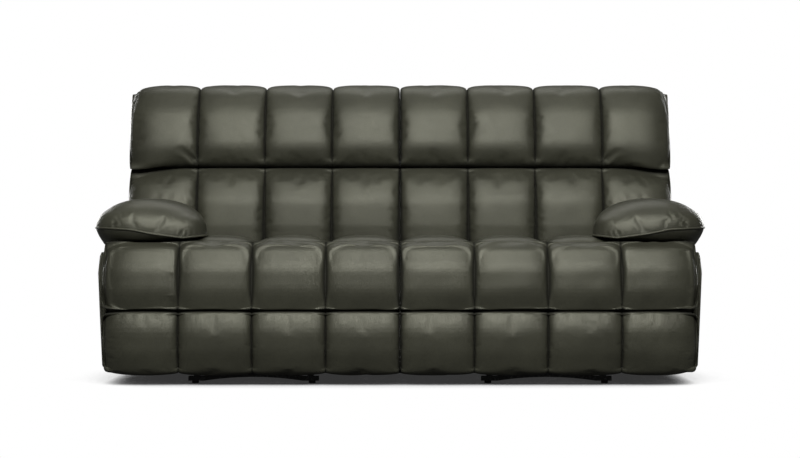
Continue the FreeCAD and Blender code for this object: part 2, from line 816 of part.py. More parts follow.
def seat_frame():
    """The wooden seat frame: rails across the whole half, and rails from front to back."""
    left, right = outer_x + size("rail_inset"), inner_x - size("rail_inset")
    front, rear = behind_front("front_rail_run"), behind_front("rear_rail_run")
    thick = size("rail_thickness")
    low, high = rail_low, size("rail_top")
    pieces = [
        box("front_rail", (left, front, low), (right, front + thick, high)),
        box("rear_rail", (left, rear, low), (right, rear + thick, high)),
    ]
    starts = {"outer": left, "middle": arm_inner_x, "inner": right - thick}
    side_rails = {
        name: box(f"{name}_side_rail", (start, front + thick, low), (start + thick, rear, high))
        for name, start in starts.items()
    }
    cable_hole = rod("cable_hole", "X", (left - CUTTER_OVERRUN, behind_front("cable_run"), cable_z),
                     size("cable_radius") + size("cable_clearance"), thick + CUTTER_OVERRUN * 2)
    side_rails["outer"] = cut("outer_side_rail_drilled", side_rails["outer"], cable_hole)
    pieces.extend(side_rails.values())
    return group("left_seat_frame", pieces)


def sinuous_wire(start, end, half_width, step):
    """The path of a zigzag spring: straight runs across, joined by half turns."""
    vector = FreeCAD.Vector
    radius = step / 4
    runs = max(2, int((end.y - start.y) // (radius * 2)))
    radius = (end.y - start.y) / runs / 2
    edges = []
    side = 1
    reach = half_width - radius
    here = vector(start.x, start.y + radius, start.z)
    edges.append(Part.LineSegment(start, here).toShape())
    turn = vector(start.x + side * reach, here.y, start.z)
    edges.append(Part.LineSegment(here, turn).toShape())
    for _ in range(runs - 1):
        crown = vector(turn.x + side * radius, turn.y + radius, turn.z)
        back = vector(turn.x, turn.y + radius * 2, turn.z)
        edges.append(Part.Arc(turn, crown, back).toShape())
        side = -side
        turn = vector(start.x + side * reach, back.y, back.z)
        edges.append(Part.LineSegment(back, turn).toShape())
    last = edges.pop().Vertexes[0].Point
    middle = vector(start.x, last.y, last.z)
    edges.append(Part.LineSegment(last, middle).toShape())
    edges.append(Part.LineSegment(middle, vector(middle.x, end.y, middle.z)).toShape())
    return Part.Wire(edges)


def seat_springs():
    """Zigzag steel springs that lie on the front and rear rails and carry the cushion."""
    radius = SIZES["spring_wire_radius"]
    front = behind_front("front_rail_run").number + radius
    rear = behind_front("rear_rail_run").number + SIZES["rail_thickness"] - radius
    z = SIZES["rail_top"] + radius
    count = SIZES["spring_count"]
    span = inner_x.number - arm_inner_x.number
    solids = []
    for index in range(count):
        x = arm_inner_x.number + span * (index + 0.5) / count
        start = FreeCAD.Vector(x, front, z)
        end = FreeCAD.Vector(x, rear, z)
        path = sinuous_wire(start, end, SIZES["spring_half_width"], SIZES["spring_step"])
        ring = Part.Wire([Part.Circle(start, FreeCAD.Vector(0, 1, 0), radius).toShape()])
        solids.append(path.makePipeShell([ring], True, False, 1))
    springs = doc.addObject("Part::Feature", "left_seat_springs")
    springs.Shape = Part.makeCompound(solids)
    springs.Placement = FreeCAD.Placement()
    return springs


def seat_cushion():
    """The seat cushion: three channels between the arm and the centre line."""
    front = behind_front("seat_front_run")
    low = size("rail_top") + size("spring_wire_radius") * 2
    high = size("seat_crown")
    rear_low = lean_line(-size("back_face"), low) - size("soft_gap")
    rear_high = lean_line(-size("back_face"), high) - size("soft_gap")
    outline = [(front, low), (front, high), (rear_high, high), (rear_low, low)]
    rounds = [
        (size("seat_front_round"), [(front, high)]),
        (size("seat_rear_round"), [(rear_high, high)]),
    ]
    return channel_pad("left_seat_cushion", outline, rounds, (rear_high, low, high), arm_inner_x, pitch,
                       size("seat_channels"))


def arm_frame():
    """The boards of the arm box, on the outer end of the seat frame."""
    left, right = side_inner_x, arm_inner_x
    front, rear = behind_front("arm_front_run"), behind_front("arm_rear_run")
    thick = size("arm_board")
    deck = arm_top - thick
    pieces = [
        box("arm_front_board", (left, front, size("arm_low")), (right, front + thick, deck)),
        box("arm_top_board", (left, front, deck), (right, rear, arm_top)),
        box("arm_inner_board", (right - thick, front + thick, size("rail_top")), (right, rear, deck)),
        box("arm_rear_post", (left, rear - thick, size("rail_top")), (left + thick, rear, deck)),
        box("arm_floor_rail", (left, front + thick, size("arm_low")),
            (left + thick, behind_front("side_rear_run") - thick, size("arm_low") + size("cleat_width"))),
    ]
    return group("left_arm_frame", pieces)


def arm_side_panel():
    """The padded outer side, full depth, with the opening for the release cup."""
    low, high = size("side_low"), arm_top - size("side_drop")
    taper = size("side_taper")
    section = [(side_inner_x, low), (side_outer_x + taper, low), (side_outer_x, high - size("side_shoulder")),
               (side_outer_x + size("side_lean_in"), high), (side_inner_x, high)]
    front = behind_front("side_front_run")
    length = size("side_rear_run") - size("side_front_run")
    body = extrude("arm_side_blank", "XZ", section, front, length,
                   rounds=[(size("side_round"), [section[1], section[3]])])
    opening = box("cup_opening", (side_outer_x - CUTTER_OVERRUN, behind_front("cup_run"), cup_low),
                  (side_inner_x + CUTTER_OVERRUN, behind_front("cup_run") + size("cup_length"),
                   cup_low + size("cup_height")))
    return cut("left_arm_side_panel", body, opening)


def arm_pad():
    """The stuffed arm pad, which hangs over both sides of the arm box."""
    bottom = arm_top
    top = bottom + size("pad_height")
    left = side_outer_x + size("pad_inset")
    right = arm_inner_x + size("pad_overhang")
    over_seat = size("seat_crown") + size("soft_gap") * 2
    section = [
        (left + size("pad_tuck"), bottom),
        (left, bottom + size("pad_outer_lift")),
        (left + size("pad_outer_slope"), top - size("pad_outer_drop")),
        (left + size("pad_crown_outer"), top),
        (right - size("pad_crown_inner"), top),
        (right - size("pad_inner_slope"), top - size("pad_inner_drop")),
        (right, over_seat + size("pad_inner_wall")),
        (right - size("pad_inner_slope") / 2, over_seat),
        (arm_inner_x, over_seat),
        (arm_inner_x, bottom),
    ]
    front = behind_front("pad_front_run")
    rear = lean_line(-size("back_face"), top)
    body = extrude("left_arm_pad", "XZ", section, front, rear - front,
                   rounds=[(size("pad_shoulder_round"), section[2:6])])
    nose = front_edges(body.Tip.Shape, front.number, over_seat.number)
    round_edges(body, "arm_pad_nose", body.Tip, nose, size("pad_nose_round"))
    gap = size("soft_gap")
    low, high = bottom - CUTTER_OVERRUN, top + CUTTER_OVERRUN
    # The rear end leans with the cushion that it meets.
    rear_face = [
        (lean_line(-size("back_face"), low) - gap, low),
        (lean_line(-size("back_face"), high) - gap, high),
        (rear + CUTTER_OVERRUN, high),
        (rear + CUTTER_OVERRUN, low),
    ]
    # The underside of the nose stands clear of the top of the closed footrest.
    chin_y = behind_front("arm_front_run")
    chin_z = rest_top + gap * 2
    before = front - CUTTER_OVERRUN
    chin = [
        (before, low),
        (chin_y, low),
        (chin_y, bottom),
        (chin_y - size("pad_chin_slope"), chin_z),
        (before, chin_z),
    ]
    for name, outline in (("arm_pad_rear", rear_face), ("arm_pad_chin", chin)):
        trim = sketch_on(body, f"{name}_outline", "YZ", left - CUTTER_OVERRUN)
        draw_outline(trim, outline)
        pocket = body.newObject("PartDesign::Pocket", name)
        pocket.Profile = trim
        pocket.Reversed = True
        bind(pocket, "Length", right - left + CUTTER_OVERRUN * 2)
    body.Tip = pocket
    return body


def front_edges(shape, front, lowest):
    """Names of the edges of a front end that lie wholly above a height."""
    found = []
    for number, edge in enumerate(shape.Edges, start=1):
        bounds = edge.BoundBox
        if bounds.YLength < 1e-3 and abs(bounds.YMin - front) < 1e-3 and bounds.ZMin > lowest + 1:
            found.append(f"Edge{number}")
    return found


def inner_side_panel():
    """The upholstered panel on the centre side: high beside the seat, low behind it."""
    low, step_z = size("panel_low"), size("inner_panel_step_z")
    front = behind_front("arm_front_run")
    step = behind_front("arm_rear_run")
    rear = behind_front("rear_panel_run")
    outline = [(front, low), (rear, low), (rear, step_z), (step, step_z), (step, rail_low), (front, rail_low)]
    return extrude("left_inner_side_panel", "YZ", outline, inner_x - size("panel_thickness"),
                   size("panel_thickness"), rounds=[(size("plate_hub"), [outline[3]])])


def rear_panel():
    """The low panel across the back of the seat unit, clear of the tracks that it rolls over."""
    front = behind_front("rear_panel_run")
    rear = front + size("panel_thickness")
    low = track_low + size("track_height") + size("rear_panel_clearance")
    high = size("rear_panel_top")
    outline = [(front, low), (rear, low), (rear, high), (front, high)]
    return extrude("left_rear_panel", "YZ", outline, outer_x, size("unit_width"),
                   rounds=[(size("panel_thickness") / 3, outline[1:3])])


def release_cup():
    """The recessed plastic cup in the outer side, with the two ears that hold the handle's pin."""
    y, z = behind_front("cup_run"), cup_low
    far_y, far_z = y + size("cup_length"), z + size("cup_height")
    wall = size("cup_wall")
    blank = box("cup_blank", (cup_mouth_x, y, z), (side_inner_x, far_y, far_z))
    hollow = box("cup_hollow", (cup_mouth_x - CUTTER_OVERRUN, y + wall, z + wall),
                 (side_inner_x - wall, far_y - wall, far_z - wall))
    pin_hole = rod("cup_pin_hole", "Z", (hinge_x, hinge_y, z - CUTTER_OVERRUN),
                   size("handle_hinge_radius") + size("running_clearance"),
                   size("cup_height") + CUTTER_OVERRUN * 2)
    return cut("left_release_cup", cut("cup_shell", blank, hollow), pin_hole)




def release_handle():
    """The paddle that fingers pull outwards, on an upright pin at its rear end."""
    half = size("handle_thickness") / 2
    middle_z = cup_low + size("cup_height") / 2
    low, high = middle_z - size("handle_width") / 2, middle_z + size("handle_width") / 2
    paddle = box("handle_paddle", (hinge_x - half, hinge_y - size("handle_length"), low),
                 (hinge_x + half, hinge_y, high))
    barrel = rod("handle_barrel", "Z", (hinge_x, hinge_y, low), size("handle_thickness") * 0.75,
                 size("handle_width"))
    pin = rod("handle_pin", "Z", (hinge_x, hinge_y, cup_low + size("handle_clearance")),
              size("handle_hinge_radius"), size("cup_height") - size("handle_clearance") * 2)
    return fuse("left_release_handle", [paddle, barrel, pin])


def release_cable():
    """The sheathed cable from the cup to the side plate, straight runs joined by tangent arcs."""
    plate_x = unit_centre_x.number - plate_outside.number
    cup_x = side_inner_x.number
    run = behind_front("cable_run").number
    low = rail_low.number - SIZES["plate_hub"] * 2
    vector = FreeCAD.Vector
    points = [
        vector(cup_x, run, cable_z.number),
        vector(cup_x + SIZES["cable_exit"], run, cable_z.number),
        vector(cup_x + SIZES["cable_swing"], run - SIZES["cable_bend"], low + SIZES["cable_dip"]),
        vector(plate_x - SIZES["cable_end"], run - SIZES["cable_shift"], low),
        vector(plate_x, run - SIZES["cable_shift"], low),
    ]
    radius = SIZES["cable_radius"]
    path = rounded_path(points)
    ring = Part.Wire([Part.Circle(points[0], vector(1, 0, 0), radius).toShape()])
    cable = doc.addObject("Part::Feature", "left_release_cable")
    cable.Shape = path.makePipeShell([ring], True, False, 1)
    cable.Placement = FreeCAD.Placement()
    return cable


def rounded_path(points):
    """A wire through the points whose corners are tangent arcs as large as their runs allow."""
    edges = []
    here = points[0]
    for before, corner, after in zip(points, points[1:], points[2:]):
        back = (before - corner).normalize()
        on = (after - corner).normalize()
        shorter = min((before - corner).Length, (after - corner).Length) * 0.45
        first = corner + back * shorter
        last = corner + on * shorter
        half_turn = (back + on).normalize()
        half_angle = half_turn.getAngle(on)
        radius = shorter * math.tan(half_angle)
        centre = corner + half_turn * (shorter / math.cos(half_angle))
        middle = centre - half_turn * radius
        edges.append(Part.LineSegment(here, first).toShape())
        edges.append(Part.Arc(first, middle, last).toShape())
        here = last
    edges.append(Part.LineSegment(here, points[-1]).toShape())
    return Part.Wire(edges)


def back_brackets():
    """Steel brackets that carry the back's posts on the mechanism's rear pins."""
    y, z = behind_front("back_pivot_run"), size("back_pivot_z")
    half = size("back_bracket_half_width")
    top = size("back_bracket_top")
    centre_line = size("post_depth")
    top_y = lean_line(centre_line, top)
    outline = [(y - half, z - half), (y + half, z - half), (top_y + half, top), (top_y - half, top)]
    start = unit_centre_x - first_layer
    plate = extrude("back_bracket", "YZ", outline, start, size("link_thickness"),
                    holes=[(y, z, size("back_pin_radius") + size("running_clearance"))],
                    rounds=[(half * 0.8, outline[:2]), (half / 3, outline[2:])])
    return pair("left_back_brackets", plate)


def back_frame():
    """Two upright posts and three rails of the wooden back frame, in the back's own frame."""
    post_outer = unit_centre_x - (first_layer - size("link_thickness"))
    thick = size("rail_thickness")
    height = size("frame_rail_height")
    cap_under = size("back_crown") - size("cap_drop")
    post = box("back_post", (post_outer, thick, size("post_low")),
               (post_outer + size("post_width"), thick + size("post_depth"), cap_under))
    left = outer_x + size("shell_thickness")
    right = inner_x - size("shell_thickness")
    pieces = [post, mirrored("back_post_twin", post, unit_centre_x)]
    starts = {
        "bottom": size("frame_rail_low"),
        "middle": size("frame_rail_middle"),
        "top": cap_under - height,
    }
    for name, start in starts.items():
        pieces.append(box(f"back_{name}_rail", (left, 0, start), (right, thick, start + height)))
    return leaned(group("left_back_frame", pieces))


def back_lower_cushion():
    """The lower row of the back, from behind the seat up to the cross seam."""
    face = -size("back_face")
    low, high = size("back_low"), size("back_seam")
    outline = [(face, low), (face, high), (0, high), (0, low)]
    rounds = [
        (size("back_foot_round"), [(face, low)]),
        (size("back_seam_round"), [(face, high)]),
    ]
    body = channel_pad("left_back_lower_cushion", outline, rounds, (as_dim(0), low, high), outer_x, pitch,
                       size("channels"))
    return leaned(body)


def back_upper_cushion():
    """The upper row of the back, which rolls over the top of the frame."""
    face, rear = -size("back_face"), size("back_rear")
    low, high = size("back_seam"), size("back_crown")
    under = high - size("cap_drop")
    outline = [(face, low), (face, high), (rear, high), (rear, under), (0, under), (0, low)]
    rounds = [
        (size("back_top_round"), [(face, high)]),
        (size("back_rear_round"), [(rear, high)]),
        (size("back_seam_round"), [(face, low)]),
    ]
    padded = (as_dim(0), low, under + CUTTER_OVERRUN)
    body = channel_pad("left_back_upper_cushion", outline, rounds, padded, outer_x, pitch, size("channels"))
    return leaned(body)


def back_shell():
    """The upholstered outside of the back: a rear wall and two side walls."""
    rear = size("back_rear")
    thick = size("shell_thickness")
    low = size("shell_low")
    under = size("back_crown") - size("cap_drop")
    wall_top = size("back_crown") - size("back_rear_round")
    pieces = [
        box("back_rear_wall", (outer_x, rear, low), (inner_x, rear + thick, wall_top)),
        box("back_outer_wall", (outer_x, 0, low), (outer_x + thick, rear, under)),
        box("back_inner_wall", (inner_x - thick, 0, low), (inner_x, rear, under)),
    ]
    return leaned(group("left_back_shell", pieces))


left_pieces = [
    arched_bar(),
    tracks(),
    glides(),
    mechanism_plates(),
    rollers("front"),
    rollers("rear"),
    drive_links(),
    guide_links(),
    carrier_links(),
    footrest_brackets(),
    footrest_board(),
    footrest_upper_pad(),
    footrest_lower_pad(),
    seat_frame(),
    seat_springs(),
    seat_cushion(),
    arm_frame(),
    arm_side_panel(),
    arm_pad(),
    inner_side_panel(),
    rear_panel(),
    release_cup(),
    release_handle(),
    release_cable(),
    back_brackets(),
    back_frame(),
    back_lower_cushion(),
    back_upper_cushion(),
    back_shell(),
]
shared_pieces = [rear_bar(), tie_bar()]
right_pieces = [mirrored(piece.Label.replace("left_", "right_", 1), piece, 0) for piece in left_pieces]
doc.recompute()

for thing in doc.Objects:
    if "Invalid" in thing.State or "Error" in thing.State:
        raise RuntimeError(f"{thing.Label} failed: {thing.State}")

finished = left_pieces + right_pieces + shared_pieces
for piece in finished:
    if piece.Shape.isNull() or not piece.Shape.isValid() or not piece.Shape.Solids:
        raise RuntimeError(f"{piece.Label} has no sound solid")

os.makedirs("parts", exist_ok=True)
for piece in finished:
    piece.Shape.exportStep(f"parts/{piece.Label}.step")
print(len(finished), "nodes,", sum(len(piece.Shape.Solids) for piece in finished), "solids")
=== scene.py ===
# %% [markdown]
# # A two-seat reclining sofa in channelled leather
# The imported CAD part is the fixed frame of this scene: steel base, rollers, links, boards and plain
# solids for the cushions. Blender adds what a camera sees, which is mostly leather. Each soft part
# could be sculpted by hand, but a sofa is regular: rounded profiles are swept across the seat and
# pulled in along straight seams. So the pads are built from numbers, then a cloth solver loosens
# them, and nothing here depends on a brush stroke that nobody can repeat.

# %% The frame
import json
import math

import bmesh
import bpy
import numpy as np
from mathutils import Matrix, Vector

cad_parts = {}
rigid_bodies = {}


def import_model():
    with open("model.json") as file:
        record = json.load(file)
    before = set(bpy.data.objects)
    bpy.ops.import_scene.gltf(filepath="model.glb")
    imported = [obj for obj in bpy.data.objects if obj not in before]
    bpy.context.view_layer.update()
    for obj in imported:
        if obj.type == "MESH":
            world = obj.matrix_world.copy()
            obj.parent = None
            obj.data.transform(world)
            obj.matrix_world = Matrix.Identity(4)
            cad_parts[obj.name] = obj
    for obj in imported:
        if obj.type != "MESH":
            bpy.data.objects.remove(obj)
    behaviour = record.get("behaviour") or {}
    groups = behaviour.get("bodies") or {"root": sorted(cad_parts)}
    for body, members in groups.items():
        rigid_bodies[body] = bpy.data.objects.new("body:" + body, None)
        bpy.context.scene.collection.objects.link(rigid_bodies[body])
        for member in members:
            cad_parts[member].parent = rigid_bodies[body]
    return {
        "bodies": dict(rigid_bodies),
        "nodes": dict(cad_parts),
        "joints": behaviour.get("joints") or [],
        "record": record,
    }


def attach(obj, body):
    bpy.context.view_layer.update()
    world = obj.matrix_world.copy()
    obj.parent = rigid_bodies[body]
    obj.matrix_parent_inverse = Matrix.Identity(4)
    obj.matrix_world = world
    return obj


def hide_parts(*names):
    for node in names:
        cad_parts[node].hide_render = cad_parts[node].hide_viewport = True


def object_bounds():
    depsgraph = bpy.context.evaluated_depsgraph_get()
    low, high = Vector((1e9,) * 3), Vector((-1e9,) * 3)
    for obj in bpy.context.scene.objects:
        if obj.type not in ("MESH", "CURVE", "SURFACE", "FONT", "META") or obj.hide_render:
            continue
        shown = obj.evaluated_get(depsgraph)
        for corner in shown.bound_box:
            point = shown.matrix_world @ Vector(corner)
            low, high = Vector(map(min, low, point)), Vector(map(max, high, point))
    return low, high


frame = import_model()
cad_box = [list(corner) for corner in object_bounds()]
PLAIN = "plain_"
for material in list(bpy.data.materials):
    material.name = PLAIN + material.name
MM = 0.001
SIDES = {"left": -1, "right": 1}
print("CAD box", cad_box)

# %% [markdown]
# ## View and light
# The photograph looks straight at the sofa from about seat-back height with a long lens, so the
# camera is level and far away. One wide soft box hangs in front of the sofa and above it: its
# reflection is the soft band of light along the upper part of every cushion. A weaker lamp overhead
# catches the tops of the arms, and two behind the sofa show its rear. A weak grey world fills the
# shadows. The white studio is only a colour. The camera sees all of it and a glossy surface one part
# in twenty, so it throws almost no extra light on the leather.

# %% Camera
scene = bpy.context.scene
scene.view_settings.view_transform = "Standard"
FRONT_Y = cad_box[0][1]
camera_data = bpy.data.cameras.new("camera")
camera_data.sensor_width = 36.0
camera_data.lens = 77.0
camera = bpy.data.objects.new("camera", camera_data)
camera.location = (0.0, FRONT_Y - 5.8, 0.533)
camera.rotation_euler = (math.radians(90), 0.0, 0.0)
scene.collection.objects.link(camera)
scene.camera = camera
print("camera at", tuple(round(v, 3) for v in camera.location))


# %% Nodes in a few words
def put(tree, kind, **settings):
    """A new node; a setting names one of its properties, or one of its sockets by name or number."""
    node = tree.nodes.new(kind)
    for name, value in settings.pop("inputs", {}).items():
        node.inputs[name].default_value = value
    for name, value in settings.items():
        setattr(node, name, value)
    return node


def join(tree, *pairs):
    """Links sockets, given as output, input, output, input and so on."""
    for out, into in zip(pairs[::2], pairs[1::2]):
        tree.links.new(out, into)


MIRRORED = 0.05


def seen_directly(tree):
    """How much of the white studio a ray sees: all of it straight to the camera or through glass, and a
    part of it off a glossy surface, so that metal isn't black and leather keeps its dark creases."""
    path = put(tree, "ShaderNodeLightPath")
    glossy = put(tree, "ShaderNodeMath", operation="MULTIPLY", inputs={1: MIRRORED})
    first = put(tree, "ShaderNodeMath", operation="MAXIMUM")
    second = put(tree, "ShaderNodeMath", operation="MAXIMUM")
    join(tree, path.outputs["Is Glossy Ray"], glossy.inputs[0], path.outputs["Is Camera Ray"], first.inputs[0],
         glossy.outputs[0], first.inputs[1], first.outputs[0], second.inputs[0],
         path.outputs["Is Transmission Ray"], second.inputs[1])
    return second.outputs[0]


print("share of the white studio that shines in gloss:", MIRRORED)


# %% World, floor and lamps
def build_world():
    """White to the camera, and a weak warm grey to everything else."""
    world = bpy.data.worlds.new("studio")
    world.use_nodes = True
    tree = world.node_tree
    tree.nodes.clear()
    white = put(tree, "ShaderNodeBackground", inputs={"Color": (1, 1, 1, 1), "Strength": 1.0})
    grey = put(tree, "ShaderNodeBackground", inputs={"Color": (1, 0.98, 0.92, 1), "Strength": 0.06})
    mix = put(tree, "ShaderNodeMixShader")
    out = put(tree, "ShaderNodeOutputWorld")
    join(tree, seen_directly(tree), mix.inputs[0], grey.outputs[0], mix.inputs[1],
         white.outputs[0], mix.inputs[2], mix.outputs[0], out.inputs["Surface"])
    scene.world = world


def build_floor():
    """A floor that glows white to the camera and is dark to every other ray; the sofa's shadow is painted in, as
    glow that ambient occlusion dims where the sofa stands over it.
    """
    material = bpy.data.materials.new("studio_floor")
    material.use_nodes = True
    tree = material.node_tree
    tree.nodes.clear()
    matt = put(tree, "ShaderNodeBsdfDiffuse", inputs={"Color": (0.05, 0.05, 0.05, 1)})
    open_sky = put(tree, "ShaderNodeAmbientOcclusion", samples=16, inputs={"Distance": 0.6})
    # Painted shadow: the occlusion sets how bright the floor's glow is.
    painted_floor_shadow = put(tree, "ShaderNodeMapRange", inputs={"From Min": 0.2, "From Max": 0.62, "To Min": 0.035})
    glow = put(tree, "ShaderNodeEmission", inputs={"Color": (1, 1, 1, 1)})
    mix = put(tree, "ShaderNodeMixShader")
    out = put(tree, "ShaderNodeOutputMaterial")
    join(tree, open_sky.outputs["AO"], painted_floor_shadow.inputs["Value"], painted_floor_shadow.outputs["Result"], glow.inputs["Strength"],
         seen_directly(tree), mix.inputs[0], matt.outputs[0], mix.inputs[1],
         glow.outputs[0], mix.inputs[2], mix.outputs[0], out.inputs["Surface"])
    mesh = bpy.data.meshes.new("floor")
    half = 14.0
    mesh.from_pydata([(-half, -half, 0), (half, -half, 0), (half, half, 0), (-half, half, 0)], [], [(0, 1, 2, 3)])
    mesh.materials.append(material)
    floor = bpy.data.objects.new("floor", mesh)
    scene.collection.objects.link(floor)


def lamp(name, place, target, size, watts):
    """A rectangular soft box that the camera can't see."""
    data = bpy.data.lights.new(name, "AREA")
    data.shape = "RECTANGLE"
    data.size, data.size_y = size
    data.energy = watts
    thing = bpy.data.objects.new(name, data)
    thing.location = place
    thing.rotation_euler = (Vector(target) - Vector(place)).to_track_quat("-Z", "Y").to_euler()
    thing.visible_camera = False
    scene.collection.objects.link(thing)


build_world()
build_floor()
lamp("soft_box", (0.0, -4.4, 3.4), (0.0, -0.3, 0.6), (3.0, 1.2), 300.0)
lamp("overhead", (0.0, 1.2, 4.4), (0.0, 0.0, 0.5), (4.0, 2.0), 62.0)
for side, way in SIDES.items():
    lamp(f"{side}_rear_box", (way * 3.6, 3.8, 1.5), (way * 0.3, 0.2, 0.5), (2.0, 1.6), 110.0)

# %% [markdown]
# ## Leather, steel, wood and plastic
# Upholstery leather is a dark pigment under a satin resin. Close up it has a pebble grain of about a
# millimetre and fine creases where it bends; from across a room only soft highlights and a slight
# cloudiness remain. A picture could be wrapped round the cushions, but it would need seams of its own,
# so the grain is computed from each point's place. Effects that several finishes share are node
# groups. They put out masks and heights, and each material mixes them with its own numbers.


# %% Building blocks for groups
def new_group(name, inputs, outputs):
    """An empty shader group with float inputs (name: value) and float outputs; returns its two ends."""
    group = bpy.data.node_groups.new(name, "ShaderNodeTree")
    for label, value in inputs.items():
        socket = group.interface.new_socket(name=label, in_out="INPUT", socket_type="NodeSocketFloat")
        socket.default_value = value
    for label in outputs:
        group.interface.new_socket(name=label, in_out="OUTPUT", socket_type="NodeSocketFloat")
    return group, put(group, "NodeGroupInput"), put(group, "NodeGroupOutput")


def maths(tree, operation, first, second=None, third=None):
    """A Math node fed by sockets or plain numbers; returns its output."""
    node = put(tree, "ShaderNodeMath", operation=operation)
    for socket, value in zip(node.inputs, (first, second, third)):
        if isinstance(value, bpy.types.NodeSocket):
            tree.links.new(value, socket)
        elif value is not None:
            socket.default_value = value
    return node.outputs[0]


def ramp(tree, value, low, high, to_low=0.0, to_high=1.0):
    """Stretches a value from one range to another and clamps it."""
    node = put(tree, "ShaderNodeMapRange", inputs={"From Min": low, "From Max": high,
                                                   "To Min": to_low, "To Max": to_high})
    tree.links.new(value, node.inputs["Value"])
    return node.outputs["Result"]


print("CAD nodes to finish:", len(frame["nodes"]))


# %% Leather grain
def leather_grain():
    """Pebbles with fine valleys between them, over creases that wander at a larger scale."""
    group, start, end = new_group("leather_grain", {"Pebbles per metre": 620.0, "Creases per metre": 46.0},
                                  ("Height", "Crease"))
    place = put(group, "ShaderNodeTexCoord").outputs["Object"]
    wander = put(group, "ShaderNodeTexNoise", inputs={"Scale": 260.0, "Detail": 2.0})
    push = put(group, "ShaderNodeVectorMath", operation="MULTIPLY_ADD",
               inputs={1: (0.0012, 0.0012, 0.0012)})
    pebbles = put(group, "ShaderNodeTexVoronoi", feature="DISTANCE_TO_EDGE")
    creases = put(group, "ShaderNodeTexVoronoi", feature="DISTANCE_TO_EDGE")
    bend = put(group, "ShaderNodeTexNoise", inputs={"Scale": 24.0, "Detail": 3.0})
    shift = put(group, "ShaderNodeVectorMath", operation="MULTIPLY_ADD", inputs={1: (0.03, 0.03, 0.03)})
    join(group, place, wander.inputs["Vector"], wander.outputs["Color"], push.inputs[0], place, push.inputs[2],
         push.outputs[0], pebbles.inputs["Vector"], start.outputs[0], pebbles.inputs["Scale"],
         place, bend.inputs["Vector"], bend.outputs["Color"], shift.inputs[0], place, shift.inputs[2],
         shift.outputs[0], creases.inputs["Vector"], start.outputs[1], creases.inputs["Scale"])
    pebble = ramp(group, pebbles.outputs["Distance"], 0.0, 0.18)
    crease = ramp(group, creases.outputs["Distance"], 0.0, 0.07)
    height = maths(group, "MULTIPLY_ADD", crease, 0.6, pebble)
    join(group, height, end.inputs["Height"], crease, end.inputs["Crease"])
    return group


GRAIN = leather_grain()
print(GRAIN.name, "has", len(GRAIN.nodes), "nodes")


# %% Clouds, worn edges and painted hollow shade
def cloudiness():
    """Broad uneven patches, as dye, dust and rubbing leave on any surface."""
    group, start, end = new_group("cloudiness", {"Patches per metre": 5.0}, ("Broad", "Fine"))
    place = put(group, "ShaderNodeTexCoord").outputs["Object"]
    broad = put(group, "ShaderNodeTexNoise", inputs={"Detail": 3.0, "Roughness": 0.55})
    fine = put(group, "ShaderNodeTexNoise", inputs={"Detail": 4.0, "Roughness": 0.6})
    tighter = maths(group, "MULTIPLY", start.outputs[0], 9.0)
    join(group, place, broad.inputs["Vector"], start.outputs[0], broad.inputs["Scale"],
         place, fine.inputs["Vector"], tighter, fine.inputs["Scale"],
         broad.outputs["Fac"], end.inputs["Broad"], fine.outputs["Fac"], end.inputs["Fine"])
    return group


def worn_edges():
    """Sharp outer edges, where paint thins and leather is rubbed, and hollows, which the leather darkens as painted
    shade.
    """
    group, start, end = new_group("worn_edges", {"Spread": 0.06}, ("Edge", "Hollow"))
    shape = put(group, "ShaderNodeNewGeometry").outputs["Pointiness"]
    above = maths(group, "ADD", start.outputs[0], 0.5)
    below = maths(group, "SUBTRACT", 0.5, start.outputs[0])
    edge = put(group, "ShaderNodeMapRange", inputs={"From Min": 0.505})
    hollow_shade = put(group, "ShaderNodeMapRange", inputs={"From Min": 0.495})
    join(group, shape, edge.inputs["Value"], above, edge.inputs["From Max"],
         shape, hollow_shade.inputs["Value"], below, hollow_shade.inputs["From Max"],
         edge.outputs["Result"], end.inputs["Edge"], hollow_shade.outputs["Result"], end.inputs["Hollow"])
    return group


CLOUDS = cloudiness()
WEAR_AND_SHADE = worn_edges()
print("shared effects:", [group.name for group in (GRAIN, CLOUDS, WEAR_AND_SHADE)])


# %% From groups to a material
def use(tree, group, **inputs):
    """Places a shared effect in a material, with this material's own values."""
    node = put(tree, "ShaderNodeGroup")
    node.node_tree = group
    for name, value in inputs.items():
        node.inputs[name.replace("_", " ")].default_value = value
    return node.outputs


def start_material(name, **plain):
    """A material with one Principled shader; plain values sit on its own sockets."""
    material = bpy.data.materials.new(name)
    material.use_nodes = True
    tree = material.node_tree
    shader = tree.nodes["Principled BSDF"]
    for label, value in plain.items():
        shader.inputs[label.replace("_", " ")].default_value = value
    return material, tree, shader


def blend_colours(tree, amount, first, second):
    """A colour between two, by a mask; each is a socket or a plain (r, g, b)."""
    node = put(tree, "ShaderNodeMix", data_type="RGBA")
    tree.links.new(amount, node.inputs[0])
    for socket, value in zip((node.inputs[6], node.inputs[7]), (first, second)):
        if isinstance(value, bpy.types.NodeSocket):
            tree.links.new(value, socket)
        else:
            socket.default_value = (*value, 1.0)
    return node.outputs[2]


def raise_surface(tree, shader, height, strength, depth):
    """Turns a height into the shader's normal; depth is in metres."""
    bump = put(tree, "ShaderNodeBump", inputs={"Strength": strength, "Distance": depth})
    join(tree, height, bump.inputs["Height"], bump.outputs[0], shader.inputs["Normal"])


print("sockets of the leather's grain:", [item.name for item in GRAIN.interface.items_tree])


